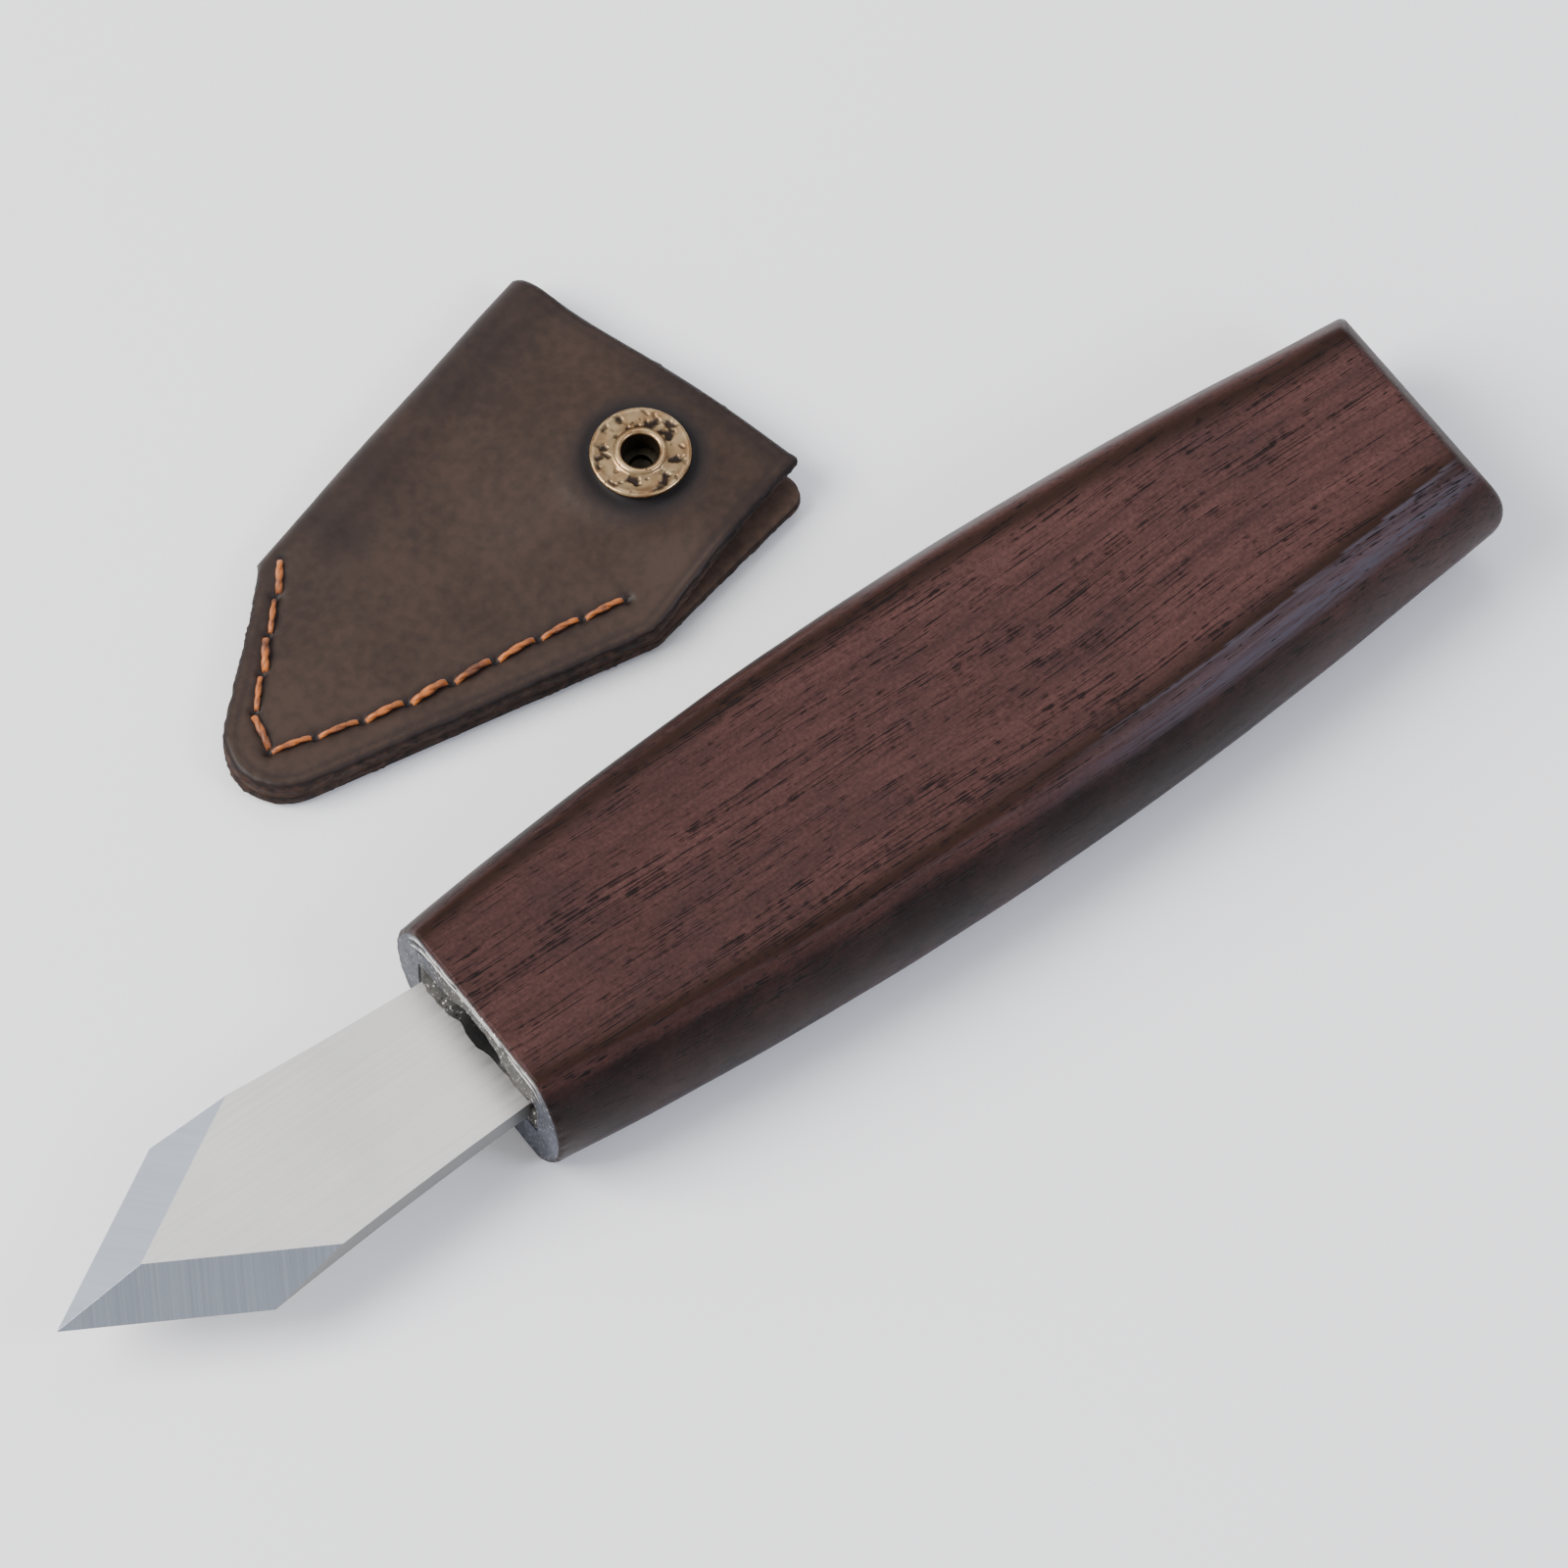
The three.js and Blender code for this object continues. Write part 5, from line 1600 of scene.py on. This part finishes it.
def stitch_tree():
    """One twisted stitch on each edge of the seam line, laid along it and bedded into the leather."""
    tree = bpy.data.node_groups.new("saddle_stitches", "GeometryNodeTree")
    face = tree.interface
    face.new_socket("Seam Line", in_out="INPUT", socket_type="NodeSocketGeometry")
    sizes = {
        "Stitch Length": 3.75 * MM, "Ply Radius": 0.27 * MM, "Ply Offset": 0.13 * MM,
        "Arch": 0.4 * MM, "Bedding": 0.5 * MM, "Twists": 1.15, "Slant": math.radians(9.0),
    }
    for name, value in sizes.items():
        socket = face.new_socket(name, in_out="INPUT", socket_type="NodeSocketFloat")
        socket.default_value = value
    seed = face.new_socket("Seed", in_out="INPUT", socket_type="NodeSocketInt")
    seed.default_value = 4
    face.new_socket("Stitches", in_out="OUTPUT", socket_type="NodeSocketGeometry")
    nodes, links = tree.nodes, tree.links
    ply = nodes.new("NodeFrame")
    ply.label = "One ply, wound round the stitch"
    body = nodes.new("NodeFrame")
    body.label = "Two plies, arched"
    laying = nodes.new("NodeFrame")
    laying.label = "Laid along the seam"

    given = nodes.new("NodeGroupInput")
    given.label = "Sizes"
    half = nodes.new("ShaderNodeMath")
    half.label = "Half the stitch"
    half.inputs[1].default_value = 0.5
    minus_half = nodes.new("ShaderNodeMath")
    minus_half.label = "Start of the stitch"
    minus_half.inputs[1].default_value = -0.5
    start = nodes.new("ShaderNodeCombineXYZ")
    start.label = "Start point"
    end = nodes.new("ShaderNodeCombineXYZ")
    end.label = "End point"
    line = nodes.new("GeometryNodeCurvePrimitiveLine")
    line.label = "Straight ply"
    fine = nodes.new("GeometryNodeResampleCurve")
    fine.label = "Enough points to wind"
    fine.inputs["Count"].default_value = 26
    share = nodes.new("GeometryNodeSplineParameter")
    share.label = "Share of the stitch"
    turns = nodes.new("ShaderNodeMath")
    turns.label = "Turns so far"
    angle = nodes.new("ShaderNodeMath")
    angle.label = "Angle"
    angle.inputs[1].default_value = 2 * math.pi
    across = nodes.new("ShaderNodeMath")
    across.label = "Sideways"
    across.operation = "COSINE"
    upward = nodes.new("ShaderNodeMath")
    upward.label = "Upwards"
    upward.operation = "SINE"
    circle = nodes.new("ShaderNodeCombineXYZ")
    circle.label = "Round the stitch"
    offset = nodes.new("ShaderNodeVectorMath")
    offset.label = "Distance from the middle"
    offset.operation = "SCALE"
    wound = nodes.new("GeometryNodeSetPosition")
    wound.label = "Wound ply"
    half_turn = nodes.new("ShaderNodeMath")
    half_turn.label = "Half a wave over the stitch"
    half_turn.inputs[1].default_value = math.pi
    fullness = nodes.new("ShaderNodeMath")
    fullness.label = "Full in the middle"
    fullness.operation = "SINE"
    rounder = nodes.new("ShaderNodeMath")
    rounder.label = "Blunter towards the ends"
    rounder.operation = "POWER"
    rounder.inputs[1].default_value = 0.7
    thickness = nodes.new("ShaderNodeMapRange")
    thickness.label = "Thickness along the stitch"
    thickness.inputs["To Min"].default_value = 0.22
    gathered = nodes.new("ShaderNodeMath")
    gathered.label = "Pulled together at the holes"
    gathered.operation = "MULTIPLY"
    tapered = nodes.new("GeometryNodeSetCurveRadius")
    tapered.label = "Pulled thin at the holes"

    other = nodes.new("GeometryNodeTransform")
    other.label = "The other ply, half a turn on"
    other.inputs["Rotation"].default_value = (math.pi, 0.0, 0.0)
    both = nodes.new("GeometryNodeJoinGeometry")
    both.label = "Both plies"
    round_section = nodes.new("GeometryNodeCurvePrimitiveCircle")
    round_section.label = "Section of a ply"
    round_section.inputs["Resolution"].default_value = 9
    tube = nodes.new("GeometryNodeCurveToMesh")
    tube.label = "Solid plies"
    tube.inputs["Fill Caps"].default_value = True
    place = nodes.new("GeometryNodeInputPosition")
    place.label = "Place on the stitch"
    split = nodes.new("ShaderNodeSeparateXYZ")
    split.label = "How far along"
    towards_end = nodes.new("ShaderNodeMath")
    towards_end.label = "0 in the middle, 1 at an end"
    towards_end.operation = "DIVIDE"
    squared = nodes.new("ShaderNodeMath")
    squared.label = "Steeper towards the ends"
    squared.operation = "POWER"
    squared.inputs[1].default_value = 2.0
    steep = nodes.new("ShaderNodeMath")
    steep.label = "Steepest at the ends"
    drop = nodes.new("ShaderNodeMath")
    drop.label = "Drop towards the holes"
    raised = nodes.new("ShaderNodeMath")
    raised.label = "Height of the crown"
    raised.operation = "SUBTRACT"
    lift = nodes.new("ShaderNodeCombineXYZ")
    lift.label = "Lift"
    arched = nodes.new("GeometryNodeSetPosition")
    arched.label = "Arched stitch"

    ends = nodes.new("GeometryNodeInputMeshEdgeVertices")
    ends.label = "The two holes of a stitch"
    along = nodes.new("ShaderNodeVectorMath")
    along.label = "From hole to hole"
    along.operation = "SUBTRACT"
    marked = nodes.new("GeometryNodeStoreNamedAttribute")
    marked.label = "Direction kept on the edge"
    marked.data_type = "FLOAT_VECTOR"
    marked.domain = "EDGE"
    marked.inputs["Name"].default_value = "along"
    middles = nodes.new("GeometryNodeMeshToPoints")
    middles.label = "Middle of each stitch"
    middles.mode = "EDGES"
    direction = nodes.new("GeometryNodeInputNamedAttribute")
    direction.label = "Direction of the stitch"
    direction.data_type = "FLOAT_VECTOR"
    direction.inputs["Name"].default_value = "along"
    facing = nodes.new("FunctionNodeAlignRotationToVector")
    facing.label = "Turned along the seam"
    facing.axis = "X"
    facing.pivot_axis = "Z"
    pitched = nodes.new("FunctionNodeAlignRotationToVector")
    pitched.label = "Tilted with the leather"
    pitched.axis = "X"
    pitched.pivot_axis = "Y"
    slant_low = nodes.new("ShaderNodeMath")
    slant_low.label = "Least slant"
    slant_low.inputs[1].default_value = 0.2
    slant = nodes.new("FunctionNodeRandomValue")
    slant.label = "Uneven slant"
    slant_turn = nodes.new("ShaderNodeCombineXYZ")
    slant_turn.label = "Slant about the upright"
    slanted = nodes.new("FunctionNodeRotateRotation")
    slanted.label = "Slanted stitch"
    slanted.rotation_space = "LOCAL"
    pitch = nodes.new("ShaderNodeVectorMath")
    pitch.label = "Distance between holes"
    pitch.operation = "LENGTH"
    visible = nodes.new("ShaderNodeMath")
    visible.label = "Part that shows"
    visible.inputs[1].default_value = 0.84
    stretch = nodes.new("ShaderNodeMath")
    stretch.label = "Stretched to fit"
    stretch.operation = "DIVIDE"
    plump = nodes.new("FunctionNodeRandomValue")
    plump.label = "Some stitches fuller"
    plump.inputs["Min"].default_value = 0.72
    plump.inputs["Max"].default_value = 1.15
    size = nodes.new("ShaderNodeCombineXYZ")
    size.label = "Size of the stitch"
    laid = nodes.new("GeometryNodeInstanceOnPoints")
    laid.label = "Stitches on the seam"
    real = nodes.new("GeometryNodeRealizeInstances")
    real.label = "Real thread"
    rounded = nodes.new("GeometryNodeSetShadeSmooth")
    rounded.label = "Smooth plies"
    finish = nodes.new("GeometryNodeSetMaterial")
    finish.label = "Waxed thread"
    finish.inputs["Material"].default_value = thread
    result = nodes.new("NodeGroupOutput")
    result.label = "Stitches"

    for product in (half, minus_half, turns, angle, half_turn, steep, drop, slant_low, visible):
        product.operation = "MULTIPLY"
    for node in (given, half, minus_half, start, end, line, fine, share, turns, angle, across, upward,
                 circle, offset, wound, half_turn, fullness, rounder, thickness, gathered, tapered):
        node.parent = ply
    for node in (other, both, round_section, tube, place, split, towards_end, squared, steep, drop, raised,
                 lift, arched):
        node.parent = body
    for node in (ends, along, marked, middles, direction, facing, pitched, slant_low, slant, slant_turn,
                 slanted, pitch, visible, stretch, plump, size, laid, real, rounded, finish, result):
        node.parent = laying

    links.new(given.outputs["Stitch Length"], half.inputs[0])
    links.new(given.outputs["Stitch Length"], minus_half.inputs[0])
    links.new(minus_half.outputs["Value"], start.inputs["X"])
    links.new(half.outputs["Value"], end.inputs["X"])
    links.new(start.outputs["Vector"], line.inputs["Start"])
    links.new(end.outputs["Vector"], line.inputs["End"])
    links.new(line.outputs["Curve"], fine.inputs["Curve"])
    links.new(share.outputs["Factor"], turns.inputs[0])
    links.new(given.outputs["Twists"], turns.inputs[1])
    links.new(turns.outputs["Value"], angle.inputs[0])
    links.new(angle.outputs["Value"], across.inputs[0])
    links.new(angle.outputs["Value"], upward.inputs[0])
    links.new(across.outputs["Value"], circle.inputs["Y"])
    links.new(upward.outputs["Value"], circle.inputs["Z"])
    links.new(circle.outputs["Vector"], offset.inputs["Vector"])
    links.new(given.outputs["Ply Offset"], gathered.inputs[0])
    links.new(thickness.outputs["Result"], gathered.inputs[1])
    links.new(gathered.outputs["Value"], offset.inputs["Scale"])
    links.new(fine.outputs["Curve"], wound.inputs["Geometry"])
    links.new(offset.outputs["Vector"], wound.inputs["Offset"])
    links.new(share.outputs["Factor"], half_turn.inputs[0])
    links.new(half_turn.outputs["Value"], fullness.inputs[0])
    links.new(fullness.outputs["Value"], rounder.inputs[0])
    links.new(rounder.outputs["Value"], thickness.inputs["Value"])
    links.new(wound.outputs["Geometry"], tapered.inputs["Curve"])
    links.new(thickness.outputs["Result"], tapered.inputs["Radius"])
    links.new(tapered.outputs["Curve"], other.inputs["Geometry"])
    links.new(tapered.outputs["Curve"], both.inputs["Geometry"])
    links.new(other.outputs["Geometry"], both.inputs["Geometry"])
    links.new(given.outputs["Ply Radius"], round_section.inputs["Radius"])
    links.new(both.outputs["Geometry"], tube.inputs["Curve"])
    links.new(round_section.outputs["Curve"], tube.inputs["Profile Curve"])
    links.new(place.outputs["Position"], split.inputs["Vector"])
    links.new(split.outputs["X"], towards_end.inputs[0])
    links.new(half.outputs["Value"], towards_end.inputs[1])
    links.new(towards_end.outputs["Value"], squared.inputs[0])
    links.new(squared.outputs["Value"], steep.inputs[0])
    links.new(squared.outputs["Value"], steep.inputs[1])
    links.new(steep.outputs["Value"], drop.inputs[0])
    links.new(given.outputs["Bedding"], drop.inputs[1])
    links.new(given.outputs["Arch"], raised.inputs[0])
    links.new(drop.outputs["Value"], raised.inputs[1])
    links.new(raised.outputs["Value"], lift.inputs["Z"])
    links.new(tube.outputs["Mesh"], arched.inputs["Geometry"])
    links.new(lift.outputs["Vector"], arched.inputs["Offset"])
    links.new(ends.outputs["Position 2"], along.inputs[0])
    links.new(ends.outputs["Position 1"], along.inputs[1])
    links.new(given.outputs["Seam Line"], marked.inputs["Geometry"])
    links.new(along.outputs["Vector"], marked.inputs["Value"])
    links.new(marked.outputs["Geometry"], middles.inputs["Mesh"])
    links.new(middles.outputs["Points"], laid.inputs["Points"])
    links.new(arched.outputs["Geometry"], laid.inputs["Instance"])
    links.new(direction.outputs["Attribute"], facing.inputs["Vector"])
    links.new(given.outputs["Slant"], slant_low.inputs[0])
    links.new(slant_low.outputs["Value"], slant.inputs[2])
    links.new(given.outputs["Slant"], slant.inputs[3])
    links.new(given.outputs["Seed"], slant.inputs["Seed"])
    links.new(slant.outputs[1], slant_turn.inputs["Z"])
    links.new(facing.outputs["Rotation"], pitched.inputs["Rotation"])
    links.new(direction.outputs["Attribute"], pitched.inputs["Vector"])
    links.new(pitched.outputs["Rotation"], slanted.inputs["Rotation"])
    links.new(slant_turn.outputs["Vector"], slanted.inputs["Rotate By"])
    links.new(slanted.outputs["Rotation"], laid.inputs["Rotation"])
    links.new(direction.outputs["Attribute"], pitch.inputs[0])
    links.new(pitch.outputs["Value"], visible.inputs[0])
    links.new(visible.outputs["Value"], stretch.inputs[0])
    links.new(given.outputs["Stitch Length"], stretch.inputs[1])
    links.new(given.outputs["Seed"], plump.inputs["Seed"])
    links.new(stretch.outputs["Value"], size.inputs["X"])
    links.new(plump.outputs[1], size.inputs["Y"])
    links.new(plump.outputs[1], size.inputs["Z"])
    links.new(size.outputs["Vector"], laid.inputs["Scale"])
    links.new(laid.outputs["Instances"], real.inputs["Geometry"])
    links.new(real.outputs["Geometry"], rounded.inputs["Geometry"])
    links.new(rounded.outputs["Geometry"], finish.inputs["Geometry"])
    links.new(finish.outputs["Geometry"], result.inputs["Stitches"])
    lay_out(tree)
    return tree


def stitched_side(tree, name, side, seed):
    """The stitches of one face of the sheath, as a plain mesh."""
    line = np.array([outer_point(side, s, r) for s, r in SEAM_HOLES])
    mesh = bpy.data.meshes.new(name)
    edges = [(k, k + 1) for k in range(len(line) - 1)]
    mesh.from_pydata([tuple(p) for p in to_world(line) * MM], edges, [])
    guide = put_in_scene(name, mesh)
    modifier = guide.modifiers.new("saddle_stitches", "NODES")
    modifier.node_group = tree
    inputs = {item.name: item.identifier for item in tree.interface.items_tree
              if item.item_type == "SOCKET" and item.in_out == "INPUT"}
    modifier[inputs["Seed"]] = seed
    if side < 0:
        modifier[inputs["Arch"]] = -0.08 * MM
        modifier[inputs["Bedding"]] = -0.42 * MM
    graph = bpy.context.evaluated_depsgraph_get()
    finished = bpy.data.meshes.new_from_object(guide.evaluated_get(graph))
    bpy.data.objects.remove(guide)
    return finished


def make_stitches():
    tree = stitch_tree()
    joined = bmesh.new()
    for name, side, seed in (("upper_stitches", 1, 4), ("lower_stitches", -1, 9)):
        joined.from_mesh(stitched_side(tree, name, side, seed))
    mesh = bpy.data.meshes.new("seam_thread")
    joined.to_mesh(mesh)
    joined.free()
    mesh.materials.append(thread)
    mesh.polygons.foreach_set("material_index", [0] * len(mesh.polygons))
    piece = put_in_scene("seam_thread", mesh)
    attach(piece, "sheath")
    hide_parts("stitch_thread")


# ---- Snap ----

snap_x, snap_y = (ring_low[:2] + ring_high[:2]) / 2
STUD_HEAD = 1.7
STUD_HOLLOW = 1.2
STUD_FLANGE = 4.0
SOCKET_RADIUS = 4.0
SOCKET_HOLLOW = 3.4
SOCKET_MOUTH = 2.5
SOCKET_EYE = 1.6
SPRING_RADIUS = 2.9
SPRING_WIRE = 0.2                         # half the wire's thickness
CAP_RADIUS = 5.2
CAP_POST = 1.3


def turned_piece(name, profile, material, body, node, sides=128, pits=0.0, ease=0.06):
    """A turned solid from a closed or axis-to-axis profile of (radius, height) points."""
    profile = np.array(profile, float)
    angles = np.linspace(0, 2 * math.pi, sides, endpoint=False)
    mesh = bmesh.new()
    columns = []
    for radius, height in profile:
        if radius < 1e-6:
            columns.append([mesh.verts.new((snap_x, snap_y, height))] * sides)
            continue
        columns.append([mesh.verts.new((snap_x + radius * math.cos(a), snap_y + radius * math.sin(a), height))
                        for a in angles])
    closed = profile[0][0] > 1e-6
    pairs = list(zip(columns, columns[1:] + columns[:1])) if closed else list(zip(columns, columns[1:]))
    for first, second in pairs:
        for k in range(sides):
            corners = (first[k], first[(k + 1) % sides], second[(k + 1) % sides], second[k])
            face = list(dict.fromkeys(corners))
            if len(face) > 2:
                mesh.faces.new(face).smooth = True
    layer = mesh.verts.layers.float.new("marks_and_shade")
    for vertex in mesh.verts:
        radius = math.hypot(vertex.co.x - snap_x, vertex.co.y - snap_y)
        if pits and radius < 2.3 and vertex.co.z < ring_high[2] - 0.45:
            vertex[layer] = 0.9
    if pits:
        low, high = 2.75, SNAP_RADIUS - 0.55
        face_z = max(height for radius, height in profile if low < radius < high)
        for vertex in mesh.verts:
            radius = math.hypot(vertex.co.x - snap_x, vertex.co.y - snap_y)
            share = float(smooth_step(low, low + 0.25, radius) * (1 - smooth_step(high, high + 0.4, radius)))
            if vertex.co.z < face_z - 0.3 or share == 0:
                continue
            cells = noise.noise(vertex.co / 0.85) + 0.3 * noise.noise(vertex.co / 0.35)
            depth = float(smooth_step(-0.02, 0.5, cells)) * share
            vertex.co.z -= pits * depth
            vertex[layer] = min(1.0, 0.4 * share + 0.6 * depth)
    bmesh.ops.scale(mesh, vec=(MM, MM, MM), verts=mesh.verts)
    bmesh.ops.recalc_face_normals(mesh, faces=mesh.faces)
    data = bpy.data.meshes.new(name)
    mesh.to_mesh(data)
    mesh.free()
    data.materials.append(material)
    piece = put_in_scene(name, data)
    if ease:
        soft = piece.modifiers.new("eased_edges", "BEVEL")
        soft.width = ease * MM
        soft.segments = 2
        soft.limit_method = "ANGLE"
        soft.angle_limit = math.radians(32)
    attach(piece, body)
    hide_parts(node)


def ring_profile():
    """Flange, raised rim and tube of the ring, from the tube's foot round the flange and back."""
    foot, seat, face = ring_low[2], ring_low[2] + 1.85, ring_low[2] + 2.55
    bore, wall, outer = SNAP_BORE, 0.35, SNAP_RADIUS
    profile = [(bore, foot), (bore + wall, foot), (bore + wall, seat)]
    profile += [(radius, seat) for radius in np.linspace(2.6, outer - 0.5, 5)]
    lip = 0.36
    for angle in np.linspace(-math.pi / 2, math.pi / 2, 9):
        profile.append((outer - lip + lip * math.cos(angle), seat + lip + lip * math.sin(angle)))
    for radius in np.linspace(outer - 0.62, 2.85, 26):
        dish = 0.1 * math.sin(math.pi * (outer - 0.62 - radius) / (outer - 3.47))
        profile.append((radius, face - 0.02 - dish))
    rim = 0.4
    for angle in np.linspace(0.1 * math.pi, math.pi, 12):
        profile.append((bore + rim + rim * math.cos(angle), face - 0.06 + rim * 0.9 * math.sin(angle)))
    profile += [(bore, face - height) for height in (0.25, 0.5, 1.0)]
    return profile


def make_snap():
    turned_piece("snap_ring", ring_profile(), brass, "flap", "snap_eyelet",
                 sides=224, pits=0.2, ease=0.0)
    top, tip = stud_high[2], stud_low[2]
    stud_profile = [
        (0, tip), (STUD_HEAD - 0.3, tip), (STUD_HEAD, tip + 0.3), (STUD_HEAD - 0.1, tip + 0.6),
        (STUD_HEAD, top - 0.3), (STUD_FLANGE, top - 0.3), (STUD_FLANGE, top), (STUD_HOLLOW, top),
        (STUD_HOLLOW, tip + 0.4), (0, tip + 0.4)]
    turned_piece("snap_post", stud_profile, dark_brass, "flap", "snap_stud")
    base, lip = socket_low[2], socket_high[2]
    socket_profile = [
        (SOCKET_EYE, base - 0.25), (SOCKET_RADIUS - 0.15, base - 0.25), (SOCKET_RADIUS, base),
        (SOCKET_RADIUS, lip - 0.25), (SOCKET_RADIUS - 0.3, lip), (SOCKET_MOUTH, lip),
        (SOCKET_MOUTH, lip - 0.2), (SOCKET_HOLLOW, lip - 0.2), (SOCKET_HOLLOW, base + 0.35),
        (SOCKET_EYE, base + 0.35)]
    turned_piece("snap_seat", socket_profile, dark_brass, "sheath", "snap_socket")
    middle = (spring_low[2] + spring_high[2]) / 2
    wire = [(SPRING_RADIUS + SPRING_WIRE * math.cos(a), middle + SPRING_WIRE * math.sin(a))
            for a in np.linspace(0, 2 * math.pi, 12, endpoint=False)]
    turned_piece("snap_wire", wire, spring_wire, "sheath", "snap_spring", ease=0.0)
    bottom, crown = cap_low[2], cap_high[2]
    dome = [(CAP_RADIUS * math.sin(a), bottom + 1.0 - math.cos(a)) for a in np.linspace(0, math.pi / 2, 14)]
    cap_profile = dome + [
        (CAP_RADIUS - 0.2, bottom + 1.05), (CAP_POST, bottom + 1.05), (CAP_POST, crown), (0, crown)]
    turned_piece("snap_button", cap_profile, brass, "sheath", "snap_cap")


# ---- Stage, light and camera ----

def make_stage():
    bpy.ops.mesh.primitive_plane_add(size=3.2, location=(0, 0, 0))
    floor = bpy.context.object
    floor.name = "pale_floor"
    floor.data.materials.append(plain_floor("pale_sheet", (0.94, 0.94, 0.945)))


def soft_light(name, where, aim, width, height, power, tint):
    data = bpy.data.lights.new(name, "AREA")
    data.shape = "RECTANGLE"
    data.size = width
    data.size_y = height
    data.energy = power
    data.color = tint
    lamp = put_in_scene(name, data)
    lamp.location = where
    lamp.rotation_mode = "QUATERNION"
    lamp.rotation_quaternion = (Vector(aim) - Vector(where)).to_track_quat("-Z", "Y")


def make_lights():
    soft_light("key_softbox", (-0.75, 0.42, 0.85), (-0.02, 0.02, 0), 0.7, 0.7, 22.0, (1.0, 0.985, 0.96))
    soft_light("top_panel", (0.3, 0.42, 1.0), (0, 0.01, 0), 0.55, 0.55, 2.0, (1.0, 1.0, 1.0))
    soft_light("ridge_panel", (0.34, -0.68, 0.74), (0.01, 0, 0.01), 0.3, 0.3, 4.2, (0.72, 0.78, 1.0))
    world = bpy.data.worlds.new("studio")
    bpy.context.scene.world = world
    world.use_nodes = True
    backdrop = world.node_tree.nodes["Background"]
    backdrop.label = "Pale studio"
    backdrop.inputs["Color"].default_value = (0.94, 0.96, 1.0, 1)
    backdrop.inputs["Strength"].default_value = 0.85


def make_camera():
    azimuth, elevation, distance = math.radians(-36.53), math.radians(63.0), 1.0
    aim = Vector((-14.54 * MM, 8.75 * MM, 0))
    back = Vector((math.sin(azimuth) * math.cos(elevation), -math.cos(azimuth) * math.cos(elevation),
                   math.sin(elevation)))
    data = bpy.data.cameras.new("camera")
    data.lens = 234.5
    data.clip_start = 0.01
    camera = put_in_scene("camera", data)
    camera.location = aim + back * distance
    camera.rotation_mode = "QUATERNION"
    camera.rotation_quaternion = (-back).to_track_quat("-Z", "Y")
    bpy.context.scene.camera = camera


make_stage()
make_lights()
make_camera()
make_handle()
make_blade()
make_glue()
make_sheath_leather()
make_stitches()
make_snap()
